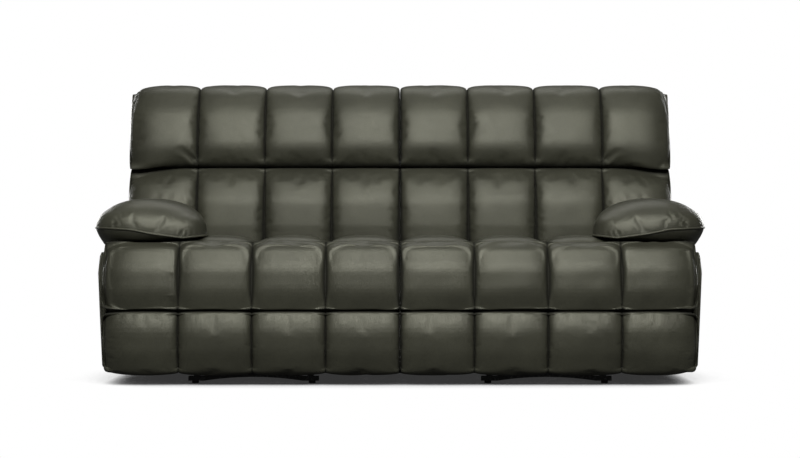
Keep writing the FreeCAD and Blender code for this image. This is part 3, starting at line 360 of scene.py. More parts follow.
# %% Leather
def leather(name, dye, gloss, pebbles=620.0):
    """Satin leather: cloudy dye, darker grain valleys, lighter where it's rubbed, and painted shade in its hollows
    and along its seams.
    """
    material, tree, shader = start_material(name, Specular_IOR_Level=0.5,
                                            Specular_Tint=(1, 1, 0.82, 1))
    grain = use(tree, GRAIN, Pebbles_per_metre=pebbles)
    clouds = use(tree, CLOUDS)
    wear_and_shade = use(tree, WEAR_AND_SHADE, Spread=0.05)
    darker = tuple(v * 0.82 for v in dye)
    lighter = tuple(v * 1.16 for v in dye)
    rubbed = tuple(v * 1.5 + 0.006 for v in dye)
    patchy = blend_colours(tree, ramp(tree, clouds["Broad"], 0.35, 0.65), darker, lighter)
    lined = blend_colours(tree, ramp(tree, grain["Crease"], 0.0, 1.0, 0.22, 0.0), patchy,
                          tuple(v * 0.45 for v in dye))
    worn = blend_colours(tree, maths(tree, "MULTIPLY", wear_and_shade["Edge"], 0.5), lined, rubbed)
    # Painted shade: hollows, found by the mesh's pointiness, darken towards three tenths of the dye.
    hollow_shade = blend_colours(tree, maths(tree, "MULTIPLY", wear_and_shade["Hollow"], 0.55), worn,
                           tuple(v * 0.3 for v in dye))
    # Painted shade: sewn reads the seam attribute, which darkens the dye almost to black along the seams, in the
    # crevices at the row seams and on the inner end panels, and makes the leather rougher there.
    sewn = put(tree, "ShaderNodeAttribute", attribute_name="seam").outputs["Fac"]
    shaded = blend_colours(tree, maths(tree, "MULTIPLY", sewn, 0.95), hollow_shade, tuple(v * 0.04 for v in dye))
    sheen = ramp(tree, clouds["Fine"], 0.3, 0.7, gloss - 0.035, gloss + 0.045)
    duller = maths(tree, "MULTIPLY_ADD", sewn, 0.45, sheen)
    join(tree, shaded, shader.inputs["Base Color"], duller, shader.inputs["Roughness"])
    height = maths(tree, "MULTIPLY_ADD", clouds["Fine"], 1.4, grain["Height"])
    raise_surface(tree, shader, height, 0.32, 0.0004)
    return material


OLIVE_GREY = (0.038, 0.038, 0.027)
LEATHER = {
    "seat_leather": leather("seat_leather", OLIVE_GREY, 0.40),
    "back_leather": leather("back_leather", OLIVE_GREY, 0.41),
    "arm_leather": leather("arm_leather", OLIVE_GREY, 0.39),
    "panel_leather": leather("panel_leather", tuple(v * 0.92 for v in OLIVE_GREY), 0.45, 700.0),
}
print("leathers:", sorted(LEATHER))


# %% Painted steel
def painted_steel(name, paint, gloss, bare_metal):
    """Powder paint with an orange-peel surface, thin on its edges."""
    material, tree, shader = start_material(name, Specular_IOR_Level=0.5)
    clouds = use(tree, CLOUDS, Patches_per_metre=14.0)
    wear_and_shade = use(tree, WEAR_AND_SHADE, Spread=0.12)
    peel = put(tree, "ShaderNodeTexNoise", inputs={"Scale": 520.0, "Detail": 2.0})
    join(tree, put(tree, "ShaderNodeTexCoord").outputs["Object"], peel.inputs["Vector"])
    rubbed = maths(tree, "MULTIPLY", wear_and_shade["Edge"], ramp(tree, clouds["Fine"], 0.5, 0.62))
    dusty = blend_colours(tree, ramp(tree, clouds["Broad"], 0.35, 0.75, 0.0, 0.5), paint,
                          tuple(v * 1.8 + 0.01 for v in paint))
    colour = blend_colours(tree, rubbed, dusty, bare_metal)
    join(tree, colour, shader.inputs["Base Color"], rubbed, shader.inputs["Metallic"],
         ramp(tree, clouds["Fine"], 0.3, 0.7, gloss - 0.08, gloss + 0.1), shader.inputs["Roughness"])
    raise_surface(tree, shader, peel.outputs["Fac"], 0.12, 0.0001)
    return material


HARD = {
    "frame_steel": painted_steel("frame_steel", (0.012, 0.012, 0.012), 0.46, (0.12, 0.12, 0.12)),
    "mechanism_steel": painted_steel("mechanism_steel", (0.045, 0.045, 0.048), 0.4, (0.4, 0.4, 0.4)),
}
print("painted:", list(HARD))


# %% Bare spring steel
def spring_steel():
    """Bare drawn wire: metal with fine lines along it and a film of oil."""
    material, tree, shader = start_material("spring_steel", Specular_IOR_Level=0.5, Metallic=1.0)
    clouds = use(tree, CLOUDS, Patches_per_metre=30.0)
    colour = blend_colours(tree, ramp(tree, clouds["Fine"], 0.4, 0.62), (0.34, 0.34, 0.35), (0.52, 0.51, 0.5))
    join(tree, colour, shader.inputs["Base Color"],
         ramp(tree, clouds["Broad"], 0.3, 0.7, 0.24, 0.42), shader.inputs["Roughness"])
    raise_surface(tree, shader, clouds["Fine"], 0.3, 0.0003)
    return material


HARD["spring_steel"] = spring_steel()
print("steels:", list(HARD))


# %% Wood
def wood(name, pale, dark, rings):
    """Sawn board: rings stretched along the grain, with open pores."""
    material, tree, shader = start_material(name, Specular_IOR_Level=0.3)
    clouds = use(tree, CLOUDS, Patches_per_metre=8.0)
    place = put(tree, "ShaderNodeTexCoord").outputs["Object"]
    stretch = put(tree, "ShaderNodeMapping", inputs={"Scale": (1.0, 6.0, 6.0)})
    figure = put(tree, "ShaderNodeTexNoise", inputs={"Scale": rings, "Detail": 5.0, "Distortion": 1.6})
    pores = put(tree, "ShaderNodeTexNoise", inputs={"Scale": rings * 18.0, "Detail": 2.0})
    join(tree, place, stretch.inputs["Vector"], stretch.outputs[0], figure.inputs["Vector"],
         stretch.outputs[0], pores.inputs["Vector"])
    bands = ramp(tree, figure.outputs["Fac"], 0.35, 0.65)
    pitted = ramp(tree, pores.outputs["Fac"], 0.36, 0.5)
    colour = blend_colours(tree, bands, dark, pale)
    colour = blend_colours(tree, ramp(tree, clouds["Broad"], 0.4, 0.7, 0.0, 0.35), colour,
                           tuple(v * 0.7 for v in dark))
    join(tree, colour, shader.inputs["Base Color"],
         ramp(tree, clouds["Fine"], 0.3, 0.7, 0.6, 0.8), shader.inputs["Roughness"])
    raise_surface(tree, shader, pitted, 0.4, 0.0005)
    return material


HARD["plywood"] = wood("plywood", (0.56, 0.4, 0.23), (0.4, 0.26, 0.13), 3.2)
HARD["frame_wood"] = wood("frame_wood", (0.62, 0.48, 0.3), (0.46, 0.31, 0.17), 4.4)
print("woods: plywood and frame_wood")


# %% Plastics, nylon and rubber
def moulded(name, colour, gloss, texture=900.0, depth=0.0002):
    """Moulded plastic: a spark-eroded surface, broad patches of dust and lighter worn edges."""
    material, tree, shader = start_material(name, Specular_IOR_Level=0.4)
    clouds = use(tree, CLOUDS, Patches_per_metre=20.0)
    wear_and_shade = use(tree, WEAR_AND_SHADE, Spread=0.1)
    skin = put(tree, "ShaderNodeTexNoise", inputs={"Scale": texture, "Detail": 2.0})
    join(tree, put(tree, "ShaderNodeTexCoord").outputs["Object"], skin.inputs["Vector"])
    dusty = blend_colours(tree, ramp(tree, clouds["Broad"], 0.4, 0.75, 0.0, 0.4), colour,
                          tuple(v * 1.4 + 0.012 for v in colour))
    edged = blend_colours(tree, maths(tree, "MULTIPLY", wear_and_shade["Edge"], 0.4), dusty,
                          tuple(v * 1.6 + 0.03 for v in colour))
    join(tree, edged, shader.inputs["Base Color"],
         ramp(tree, clouds["Fine"], 0.3, 0.7, gloss - 0.06, gloss + 0.08), shader.inputs["Roughness"])
    raise_surface(tree, shader, skin.outputs["Fac"], 0.3, depth)
    return material


HARD.update({
    "glide_plastic": moulded("glide_plastic", (0.02, 0.02, 0.02), 0.55),
    "roller_nylon": moulded("roller_nylon", (0.6, 0.58, 0.53), 0.42, 500.0),
    "cup_plastic": moulded("cup_plastic", (0.022, 0.022, 0.02), 0.5),
    "handle_plastic": moulded("handle_plastic", (0.035, 0.035, 0.032), 0.42),
    "cable_sheath": moulded("cable_sheath", (0.015, 0.015, 0.015), 0.6, 300.0),
})
print("hard finishes:", len(HARD))


# %% Finishes for the CAD nodes that stay
for node in frame["nodes"].values():
    for place in node.material_slots:
        finish = place.material.name.removeprefix(PLAIN)
        place.material = HARD.get(finish) or LEATHER[finish]
for side in SIDES:
    for covered in ("arm_frame", "footrest_board"):
        frame["nodes"][f"{side}_{covered}"].material_slots[0].material = LEATHER["panel_leather"]
print("finishes given to", len(frame["nodes"]), "CAD nodes")

# %% [markdown]
# ## Channelled cushions
# Each cushion is a run of stuffed channels: a sheet of leather over foam, sewn down to the backing
# along straight seams. Boxes with a bevel would look like bricks. Here one rounded profile is drawn
# across the cushion, and copies of it are set at closely spaced stations along the seat. Near a seam
# a station shrinks towards the backing, gently at first and then steeply, which gives the crease that
# a sewn channel has. The flat rear face never moves, because it rests on wood.

# %% Profiles
def rounded_profile(corners, count, rear_share=0.35):
    """Points and outward normals on a closed outline. Each corner is (depth, height, radius), taken up
    the front, over the top and down the rear; the rear, which nobody sees, gets fewer points."""
    line = []
    total = len(corners)
    for k, (a, b, radius) in enumerate(corners):
        here = np.array((a, b))
        back = np.array(corners[k - 1][:2]) - here
        ahead = np.array(corners[(k + 1) % total][:2]) - here
        back /= np.linalg.norm(back)
        ahead /= np.linalg.norm(ahead)
        half = math.acos(np.clip(back @ ahead, -1, 1)) / 2
        reach = radius / math.tan(half)
        middle = back + ahead
        centre = here + middle / np.linalg.norm(middle) * radius / math.sin(half)
        first, last = here + back * reach - centre, here + ahead * reach - centre
        start = math.atan2(first[1], first[0])
        turn = (math.atan2(last[1], last[0]) - start + math.pi) % (2 * math.pi) - math.pi
        steps = max(3, int(abs(turn) / 0.08))
        for step in range(steps + 1):
            angle = start + turn * step / steps
            line.append(centre + radius * np.array((math.cos(angle), math.sin(angle))))
    line = np.array(line)
    ends = np.roll(line, -1, axis=0)
    lengths = np.linalg.norm(ends - line, axis=1)
    # A dense even copy, then a choice of points whose spacing follows how much is seen of them
    at = np.concatenate(([0], np.cumsum(lengths)))
    closed = np.vstack((line, line[:1]))
    dense = np.linspace(0, at[-1], 4001)[:-1]
    fine = np.column_stack([np.interp(dense, at, closed[:, axis]) for axis in (0, 1)])
    normals = outward(fine)
    weight = rear_share + (1 - rear_share) * front_weight(normals[:, 0])
    sums = np.concatenate(([0], np.cumsum(weight)))
    chosen = np.interp(np.linspace(0, sums[-1], count + 1)[:-1], sums, np.arange(len(sums)))
    index = chosen.astype(int) % len(fine)
    return fine[index], normals[index]


def outward(points):
    """Unit normals of a closed line that runs up its front and down its rear."""
    run = np.roll(points, -3, axis=0) - np.roll(points, 3, axis=0)
    run /= np.linalg.norm(run, axis=1)[:, None]
    return np.column_stack((-run[:, 1], run[:, 0]))


def smooth(t):
    """An even step from 0 to 1 as t goes from 0 to 1."""
    t = np.clip(t, 0, 1)
    return t * t * (3 - 2 * t)


def front_weight(normal_depth):
    """1 on the front, 0 on the rear, between them on the top and the underside."""
    return smooth((0.75 - normal_depth) / 1.35)


FLAT_CHANNEL, ROUND_CHANNEL = (3.2, 2.8), (2.3, 2.1)


def seam_pull(place, shape):
    """How far in the leather is at a place across a channel, from -1 at one seam to 1 at the other."""
    return 1 - (1 - np.abs(place) ** shape[0]) ** (1 / shape[1])


print("seam pull at 1, 5 and 9 tenths of the way to a seam:",
      [round(float(seam_pull(place, FLAT_CHANNEL)), 3) for place in (0.1, 0.5, 0.9)])

# %% [markdown]
# Where a channel seam meets the seam between two rows, four sheets are gathered into one point, and
# the leather answers with short creases that fan out of it. They are grooves with a low ridge on each
# side. The same tool makes the puckers above the arm's piping and the gathers on the outer edge.

# %% Creases
def crease(points, start, angle, length, width, depth):
    """Depth of a short crease at flat (across, up) points: deepest near its start and fading out."""
    aim = np.array((math.cos(math.radians(angle)), math.sin(math.radians(angle))))
    offset = points - np.array(start)
    along = offset @ aim
    aside = offset @ np.array((-aim[1], aim[0]))
    bend = aside + 0.12 * length * np.sin(np.clip(along / length, 0, 1) * math.pi)
    fade = smooth((along + width) / (2 * width)) * smooth((length - along) / length) ** 1.2
    across = bend / width
    return -depth * fade * (np.exp(-across ** 2) - 0.38 * np.exp(-(np.abs(across) - 1.9) ** 2))


TRIAL = crease(np.array(((0.0, 10.0), (9.5, 10.0))), (0, 0), 90, 40, 5, 3.0)
print("a crease 3 mm deep, at its line and beside it:", [round(float(push), 1) for push in TRIAL])


# %% Where the channels lie
INTERVALS = 28
PROFILE_POINTS = 100


def stations(first, channels, pitch, outer_end, inner_end, shape):
    """Places across the cushion with their seam pull: close together near the seams, where it turns."""
    places, pulls = [], []
    for channel in range(channels):
        for step in range(INTERVALS + (channel == channels - 1)):
            across = -math.cos(math.pi * step / INTERVALS)
            end = 1.0
            if channel == 0 and across < 0:
                end = outer_end
            if channel == channels - 1 and across > 0:
                end = inner_end
            places.append(first + pitch * (channel + (across + 1) / 2))
            pull = seam_pull(across, shape)
            if channel == 0 and across < 0:
                pull = 1 - math.sqrt(1 - across * across)
            pulls.append(pull * end)
    return np.array(places), np.array(pulls)


print("points across a channel and round a profile:", INTERVALS, PROFILE_POINTS)


# %% Painted shade along the seams
# Painted shade: the leather is darkened along every seam, standing in for the shade deep in the sewn valleys.
PAINTED_SHADE_BAND = 4.0 * MM


def painted_seam_shade(places, first, last, pitch, profile, weight, wide):
    """Painted shade along the channel seams, from 0 to 1 at each point: the shade in their valleys, painted
    into the colour. The band is broader beside the inner end and, by wide, towards the underside."""
    seam_at = first + pitch * np.round((places - first) / pitch)
    up = (profile[:, 1] - profile[:, 1].min()) / np.ptp(profile[:, 1])
    band = PAINTED_SHADE_BAND * (1 + wide * smooth(1 - up / 0.6))
    broader = np.where(places > last - pitch / 2, 1.4, 1.0)
    shade = np.exp(-((places - seam_at)[:, None] / (broader[:, None] * band[None, :])) ** 2)
    return shade * smooth(weight / 0.4)[None, :]


def mark_painted_seam_shade(piece, amounts):
    """Keeps each point's painted seam shade, from 0 to 1, in the seam attribute, where the leather darkens as
    painted shade.
    """
    layer = piece.data.attributes.new("seam", "FLOAT", "POINT")
    values = np.zeros(len(piece.data.vertices), np.float32)
    values[:len(amounts)] = amounts
    layer.data.foreach_set("value", values)


print("a seam darkens about", PAINTED_SHADE_BAND / MM, "mm on each side")


# %% Rings, ends and closed meshes
# Painted shade on the inner end panels, which face into the dark gap between the halves.
INNER_END_PAINTED_SHADE = 0.7
OUTER_CROWN, INNER_CROWN = 10.0 * MM, 2.3 * MM


def ring_faces(rows, count):
    """Quads between all neighbouring rings of a stack."""
    return [face for row in range(rows - 1)
            for face in strip_faces(row * count, (row + 1) * count, count)]


def strip_faces(first, second, count):
    """Quads between two closed rings of points."""
    return [(first + k, second + k, second + (k + 1) % count, first + (k + 1) % count) for k in range(count)]


def end_cap(ring, crown, way, heart=None):
    """Rings that close an end: a side panel that bulges a little between its seams. Each ring is drawn
    in towards the heart, which must see the whole outline, as in the upper pad's bent one."""
    heart = ring.mean(axis=0) if heart is None else np.array((ring[0, 0], *heart)) * (1, MM, MM)
    rings = []
    for share in (0.97, 0.9, 0.78, 0.6, 0.38, 0.16):
        inner = heart + (ring - heart) * share
        inner[:, 0] = ring[:, 0] + way * crown * math.sqrt(1 - share ** 2)
        rings.append(inner)
    tip = heart.copy()
    tip[0] = ring[0, 0] + way * crown
    return np.array(rings), tip


def close_ends(grid, heart):
    """Points and faces of a tube of profiles, with an end panel at both ends; their points come last."""
    rows = len(grid)
    points, faces = grid.reshape(-1, 3), ring_faces(rows, PROFILE_POINTS)
    for row, crown, way in ((0, OUTER_CROWN, -1), (rows - 1, INNER_CROWN, 1)):
        cap, tip = end_cap(grid[row], crown, way, heart)
        before, now = row * PROFILE_POINTS, len(points)
        points = np.vstack((points, cap.reshape(-1, 3), tip[None, :]))
        for ring in cap:
            faces += strip_faces(before, now, PROFILE_POINTS)
            before, now = now, now + PROFILE_POINTS
        faces += [(before + k, before + (k + 1) % PROFILE_POINTS, now) for k in range(PROFILE_POINTS)]
    return points, faces


def build_mesh(name, points, faces):
    """An object from points and faces, closed, with its faces turned outwards."""
    mesh = bpy.data.meshes.new(name)
    mesh.from_pydata([tuple(p) for p in points], [], [tuple(int(k) for k in f) for f in faces])
    work = bmesh.new()
    work.from_mesh(mesh)
    bmesh.ops.recalc_face_normals(work, faces=work.faces)
    work.to_mesh(mesh)
    work.free()
    mesh.shade_smooth()
    piece = bpy.data.objects.new(name, mesh)
    scene.collection.objects.link(piece)
    return piece


print("end panels stand out by", OUTER_CROWN / MM, "and", INNER_CROWN / MM, "mm")


# %% Channelled pads
def channelled_pad(name, corners, across, channels, pull, lean=None, outer_end=1.3, inner_end=0.75,
                   hold=(0.5, 0.5), sag=None, taper=None, folds=(), wide=0.0, shape=FLAT_CHANNEL,
                   heart=None):
    """A cushion on the left half, and the points that its seams hold. across is its outer and inner
    end, lean places a leaning profile, hold is the share of the seam pull that reaches its underside
    and its top, and wide is how much the painted seam shade broadens towards its underside. The
    seams, the crevices at the row seams and the inner end panel get painted shade in the seam attribute."""
    profile, normals = rounded_profile([tuple(v * MM for v in corner) for corner in corners], PROFILE_POINTS)
    undersides_and_tops = list(zip(hold, (-normals[:, 1], normals[:, 1])))
    weight = front_weight(normals[:, 0])
    for share, level in undersides_and_tops:
        weight = weight * (1 - (1 - share) * smooth((level - 0.35) / 0.6))
    first, last = across[0] * MM, across[1] * MM
    pitch = (last - first) / channels
    places, pulls = stations(first, channels, pitch, outer_end, inner_end, shape)
    grid = np.empty((len(places), PROFILE_POINTS, 3))
    for row, (x, amount) in enumerate(zip(places, pulls)):
        grid[row, :, 0] = x
        grid[row, :, 1:] = profile - normals * (weight * amount * pull * MM)[:, None]
    drawn = np.dstack((grid[:, :, 0], grid[:, :, 2]))
    facing = smooth((-normals[:, 0] - 0.05) / 0.5)
    for fold in folds:
        push = crease(drawn.reshape(-1, 2), *fold).reshape(drawn.shape[:2]) * facing
        grid[:, :, 1:] += push[:, :, None] * normals[None, :, :]
    if taper is not None:
        grid[:, :, 0] += taper(grid[:, :, 2]) * smooth((first + pitch - grid[:, :, 0]) / pitch)
    if sag is not None:
        grid[:, :, 2] += sag(grid[:, :, 0], grid[:, :, 2], facing[None, :])
    # Painted shade: dark along the channel seams, and on an underside or top that meets a row seam where its hold
    # is under a half, standing in for the shade in those crevices.
    shade = painted_seam_shade(places, first, last, pitch, profile, weight, wide)
    for share, level in undersides_and_tops:
        shade = np.maximum(shade, smooth((level - 0.7) / 0.25)[None, :] * (share < 0.5))
    fixed = (pulls[:, None] > 0.8) & (weight[None, :] > 0.2) | (weight[None, :] < 0.12)
    if hold[1] < 0.5:
        fixed |= (normals[:, 1] > 0.5)[None, :]
    points, faces = close_ends(grid, heart)
    held = list(np.nonzero(fixed.reshape(-1))[0]) + list(range(fixed.size, len(points)))
    piece = build_mesh(name, points if lean is None else lean(points), faces)
    # The outer end panel keeps its own colour; the inner one gets painted shade.
    cap = (len(points) - shade.size) // 2
    mark_painted_seam_shade(piece, np.concatenate((shade.reshape(-1), np.zeros(cap), np.full(cap, INNER_END_PAINTED_SHADE))))
    return piece, held


# %% [markdown]
# ## The back
# The back leans ten degrees. Its two rows are drawn upright in a frame of their own and then leaned
# over together. The upper row rolls over the top of the wooden frame and bulges over the lower one,
# and the seam between them droops a little at the outer end, where the side panel pulls it down.

# %% The back's leaning frame
LEAN = math.radians(10.0)
BACK_Y = FRONT_Y + 0.640
BACK_Z = 0.300


def leaned(points):
    """Points drawn with depth and height in the back's own frame, set on the sofa."""
    out = points.copy()
    depth, up = points[:, 1], points[:, 2]
    out[:, 1] = BACK_Y + depth * math.cos(LEAN) + up * math.sin(LEAN)
    out[:, 2] = BACK_Z - depth * math.sin(LEAN) + up * math.cos(LEAN)
    return out


OUTER, INNER, ARM_INNER = -1009.5, -2.5, -757.75
PITCH = (INNER - OUTER) / 4
print("a channel is", PITCH, "mm wide")


# %% Fans of creases
def fan(x, height, up, seed, reach, depth):
    """Creases that fan out of a seam crossing into the channels on both sides of it."""
    draw = np.random.default_rng(seed)
    folds = []
    for side in (-1, 1):
        for tilt in (30, 58, 80):
            if draw.random() < 0.2:
                continue
            angle = tilt + draw.uniform(-7, 7)
            angle = angle if side > 0 else 180 - angle
            length = reach * draw.uniform(0.6, 1.15) * MM
            start = ((x + side * 3) * MM, (height + (4 if up else -4)) * MM)
            folds.append((start, angle if up else -angle, length, draw.uniform(4.0, 5.5) * MM,
                          depth * draw.uniform(0.55, 1.0) * MM))
    return folds


def fans(first, channels, height, up, seed, reach, depth):
    """Fans at every seam crossing of a row."""
    return [fold for k in range(1, channels)
            for fold in fan(first + k * PITCH, height, up, seed + k, reach, depth)]


print("creases of one fan:", len(fan(0.0, 0.0, True, 1, 36.0, 1.2)))


# %% The back's outline
def outer_droop(top, span):
    """The cross seam sinks towards the outer end; the rest of the cushion keeps its height."""
    def drop(x, z, facing):
        """How far each point moves up; downwards is negative."""
        out = smooth((-0.78 - x) / 0.24)
        return -0.026 * out * facing * np.exp(-((z - top) / span) ** 2)
    return drop


def back_taper(height):
    """The upper corners of the back slope inwards."""
    return 0.018 * smooth((height - 0.62) / 0.16) ** 1.6


def placed(folds):
    """Creases written in millimetres, as x, height, angle, length, width and depth."""
    return [((x * MM, z * MM), angle, length * MM, width * MM, depth * MM)
            for x, z, angle, length, width, depth in folds]


BACK_SEAM = 455.0
UPPER_BACK = [(-128, 455, 40), (-156, 525, 120), (-150, 660, 200), (-108, 779, 84), (60, 781, 150), (130, 770, 44),
              (130, 727, 4), (0, 727, 2), (0, 455, 3)]
LOWER_BACK = [(-104, 72, 40), (-137, 225, 110), (-146, 320, 130), (-128, 412, 110), (-98, 455, 26), (0, 455, 3),
              (0, 72, 3)]
print("back profiles of", len(UPPER_BACK), "and", len(LOWER_BACK), "corners")

# %% The back's rows
UPPER_FOLDS = placed([
    (-760, 462, 150, 96, 8.5, 9.0), (-762, 466, 122, 52, 6.5, 5.2), (-754, 464, 98, 40, 5.0, 3.6),
    (-750, 462, 40, 38, 5.0, 2.6), (-509, 462, 128, 46, 5.5, 2.8), (-501, 462, 47, 52, 5.5, 3.0),
    (-500, 468, 72, 30, 4.5, 2.0), (-258, 462, 135, 40, 5.5, 2.4), (-250, 462, 52, 44, 5.5, 2.8),
    (-1004, 552, -24, 22, 4.0, 3.0), (-1004, 538, -14, 18, 3.5, 2.6), (-1000, 524, 12, 16, 3.5, 1.6),
])
LOWER_FOLDS = placed([
    (-757, 450, -118, 34, 5.0, 2.4), (-750, 446, -64, 42, 5.0, 2.8), (-510, 450, -122, 30, 5.0, 1.8),
    (-500, 450, -60, 34, 5.0, 2.0), (-257, 450, -120, 28, 5.0, 1.6), (-249, 450, -58, 30, 5.0, 1.8),
    (-1006, 420, 52, 22, 4.0, 3.0), (-1006, 402, 56, 24, 4.0, 3.2), (-1007, 385, 52, 24, 4.0, 3.0),
    (-1006, 367, 58, 22, 4.0, 2.8), (-1006, 350, 55, 20, 4.0, 2.4), (-903, 322, 96, 44, 10.0, 3.6),
    (-862, 326, 84, 34, 9.0, 2.4), (-816, 316, 104, 46, 9.0, 3.8), (-778, 300, 112, 50, 8.0, 3.6),
    (-765, 262, 62, 46, 8.0, 3.0),
])
pads = {}
pads["back_upper_pad"] = channelled_pad(
    "back_upper_pad", UPPER_BACK, (OUTER, INNER), 4, 33, leaned, hold=(0.14, 0.72),
    sag=outer_droop(BACK_SEAM * MM, 0.09), taper=back_taper, folds=UPPER_FOLDS,
    heart=(-45, 750))
pads["back_lower_pad"] = channelled_pad(
    "back_lower_pad", LOWER_BACK, (OUTER, INNER), 4, 34, leaned, hold=(0.5, 0.14), wide=1.8,
    sag=outer_droop(BACK_SEAM * MM, 0.07), folds=LOWER_FOLDS)
print("back rows:", {name: len(piece.data.polygons) for name, (piece, held) in pads.items()})

# %% Seat and footrest
FRONT = FRONT_Y / MM
UPPER_REST = [(FRONT + 18, 252, 13), (FRONT + 1, 318, 150), (FRONT + 8, 402, 140), (FRONT + 46, 487, 60),
              (-364, 494, 16), (-366, 252, 3)]
LOWER_REST = [(FRONT + 30, 33, 26), (FRONT + 7, 112, 150), (FRONT + 3, 190, 150), (FRONT + 19, 252, 12),
              (-367.2, 252, 3), (-367.2, 39, 5)]
SEAT = [(-357, 383, 14), (-359, 450, 60), (-345, 503, 44), (-180, 505.5, 600), (64, 498, 26), (43, 383, 6)]
pads["footrest_upper_pad"] = channelled_pad(
    "footrest_upper_pad", UPPER_REST, (OUTER, INNER), 4, 36, hold=(0.45, 1.0),
    folds=fans(OUTER, 4, 252, True, 37, 36.0, 1.2))
pads["footrest_lower_pad"] = channelled_pad(
    "footrest_lower_pad", LOWER_REST, (OUTER, INNER), 4, 32, hold=(0.6, 0.45),
    folds=fans(OUTER, 4, 252, False, 41, 30.0, 1.2))
pads["seat_pad"] = channelled_pad(
    "seat_pad", SEAT, (ARM_INNER, INNER), 3, 50, hold=(0.4, 1.0), outer_end=0.6, shape=ROUND_CHANNEL)
print("pads:", {name: len(piece.data.polygons) for name, (piece, held) in pads.items()})

# %% [markdown]
# ## The arm
# The arm pad is a stuffed bag sewn from two pieces: a domed top, and a band that turns under it, with
# a piped seam between them that dips towards the seat. Seen from above it is a bar with a round nose.
# It is made as a stack of such outlines: the top ones shrink towards a spine line while they rise like
# a dome, and the lower ones tuck in under the seam. The rear end is cut along the leaning cushion.

# %% One outline of the arm
ARM_OUTER, ARM_INSIDE, ARM_FRONT, ARM_CROWN = -1059.0, -674.0, -395.0, 640.0
SPINE_X = -888.0
SIDE_POINTS, NOSE_POINTS, REAR_POINTS = 30, 96, 16
SEAM_X = [-1047, -921, -853, -747, -664]
SEAM_Z = [538, 531, 517, 503, 512]
BAND_X = [-1047, -1000, -870, -747, -664]
BAND_FRONT_Z = [492, 492, 493, 497, 509]


def cushion_face(z):
    """Where the front of the back cushion is at a height, less a small gap, in millimetres."""
    up = (z - BACK_Z / MM - 150 * math.sin(LEAN)) / math.cos(LEAN)
    return BACK_Y / MM - 150 * math.cos(LEAN) + up * math.sin(LEAN) - 1.5


def arm_ring(inset, heights):
    """One outline of the arm: rear to nose up the outer side, round the nose, back along the inner side
    and across the rear. inset is how far it has shrunk: outer, inner and front, and the nose's depth."""
    outer, inner = ARM_OUTER + inset[0], ARM_INSIDE - inset[1]
    middle, half = (outer + inner) / 2, (inner - outer) / 2
    nose = inset[3]
    narrow = 50.0 * min(half / 190.0, 1.0)
    side_y = ARM_FRONT + inset[2] + nose
    turn = np.linspace(0, math.pi, NOSE_POINTS + 2)[1:-1]
    nose_x = middle - half * np.sign(np.cos(turn)) * np.abs(np.cos(turn)) ** 0.7
    nose_y = side_y - nose * np.sin(turn) ** 0.7
    ring = []
    z_outer, z_inner = heights(outer, 0.0), heights(inner, 0.0)
    for share in np.linspace(0, 1, SIDE_POINTS):
        rear = cushion_face(z_outer)
        ring.append((outer, rear + (side_y - rear) * share))
    ring += list(zip(nose_x, nose_y))
    for share in np.linspace(1, 0, SIDE_POINTS):
        rear = cushion_face(z_inner)
        ring.append((inner - narrow * (1 - share), rear + (side_y - rear) * share))
    for share in np.linspace(0, 1, REAR_POINTS + 2)[1:-1]:
        ring.append((inner - narrow + (outer - inner + narrow) * share,
                     cushion_face(z_inner + (z_outer - z_inner) * share)))
    ring = np.array(ring)
    front = smooth((side_y + 60 - ring[:, 1]) / (nose + 60))
    z = np.array([heights(x, amount) for x, amount in zip(ring[:, 0], front)])
    return np.column_stack((ring, z))


print("the arm is", ARM_INSIDE - ARM_OUTER, "mm wide at its seam")


# %% The stack of outlines
DOME_RINGS = 36
DOME = (SPINE_X - ARM_OUTER, ARM_INSIDE - SPINE_X)


def seam_height(x):
    """Height of the piped seam; it's the same at the nose and along the sides."""
    return np.interp(x, SEAM_X, SEAM_Z)


def band_bottom(x, front):
    """Height of the band's lower edge, which is lower at the nose."""
    side = np.interp(x, [-1047, -1000, -700, -664], [459, 459, 509, 509])
    return side + (np.interp(x, BAND_X, BAND_FRONT_Z) - side) * front


def arm_rings():
    """The stack: the closed underside, the band, and the dome up to its spine."""
    rings = []
    for share in (1.0, 0.55, 0.18):
        inset = tuple(36 + (full - 36) * share for full in (*DOME, 150)) + (120 * (1 - share) + 30,)
        rings.append(arm_ring(inset, band_bottom))
    for below in (1.0, 0.86, 0.6, 0.35, 0.12):
        tuck = 30 * below ** 1.6
        inset = (tuck, tuck * 0.7, tuck * 0.9, 122)
        rings.append(arm_ring(inset, lambda x, front, d=below: seam_height(x)
                              + (band_bottom(x, front) - seam_height(x)) * d))
    for step in range(DOME_RINGS):
        rise = (step / (DOME_RINGS - 1)) ** 1.5
        bulge = 5.5 * math.sin(math.pi * min(rise / 0.22, 1.0)) ** 1.5
        inset = (DOME[0] * rise - bulge, DOME[1] * rise ** 1.22 - bulge, 118 * rise - bulge / 2, 122 - 62 * rise)
        lift = (1 - (1 - rise) ** 1.9) ** (1 / 1.9)
        rings.append(arm_ring(inset, lambda x, front, up=lift, r=rise: seam_height(x)
                              + (ARM_CROWN - seam_height(x)) * up - 6 * front * r))
    return rings


print("outlines in the arm's stack:", len(arm_rings()))


# %% Arm pad
ARM_SEAM_RING = 8
PUCKERS = [((-984, 541), 80, 30, 5.5, 4.2), ((-842, 524), 62, 34, 5.0, 4.6), ((-822, 520), 100, 22, 4.5, 2.4),
           ((-757, 509), 70, 30, 5.0, 4.0), ((-733, 508), 112, 34, 4.5, 2.8), ((-716, 508), 98, 26, 4.5, 2.6),
           ((-905, 535), 108, 24, 5.5, 2.0)]


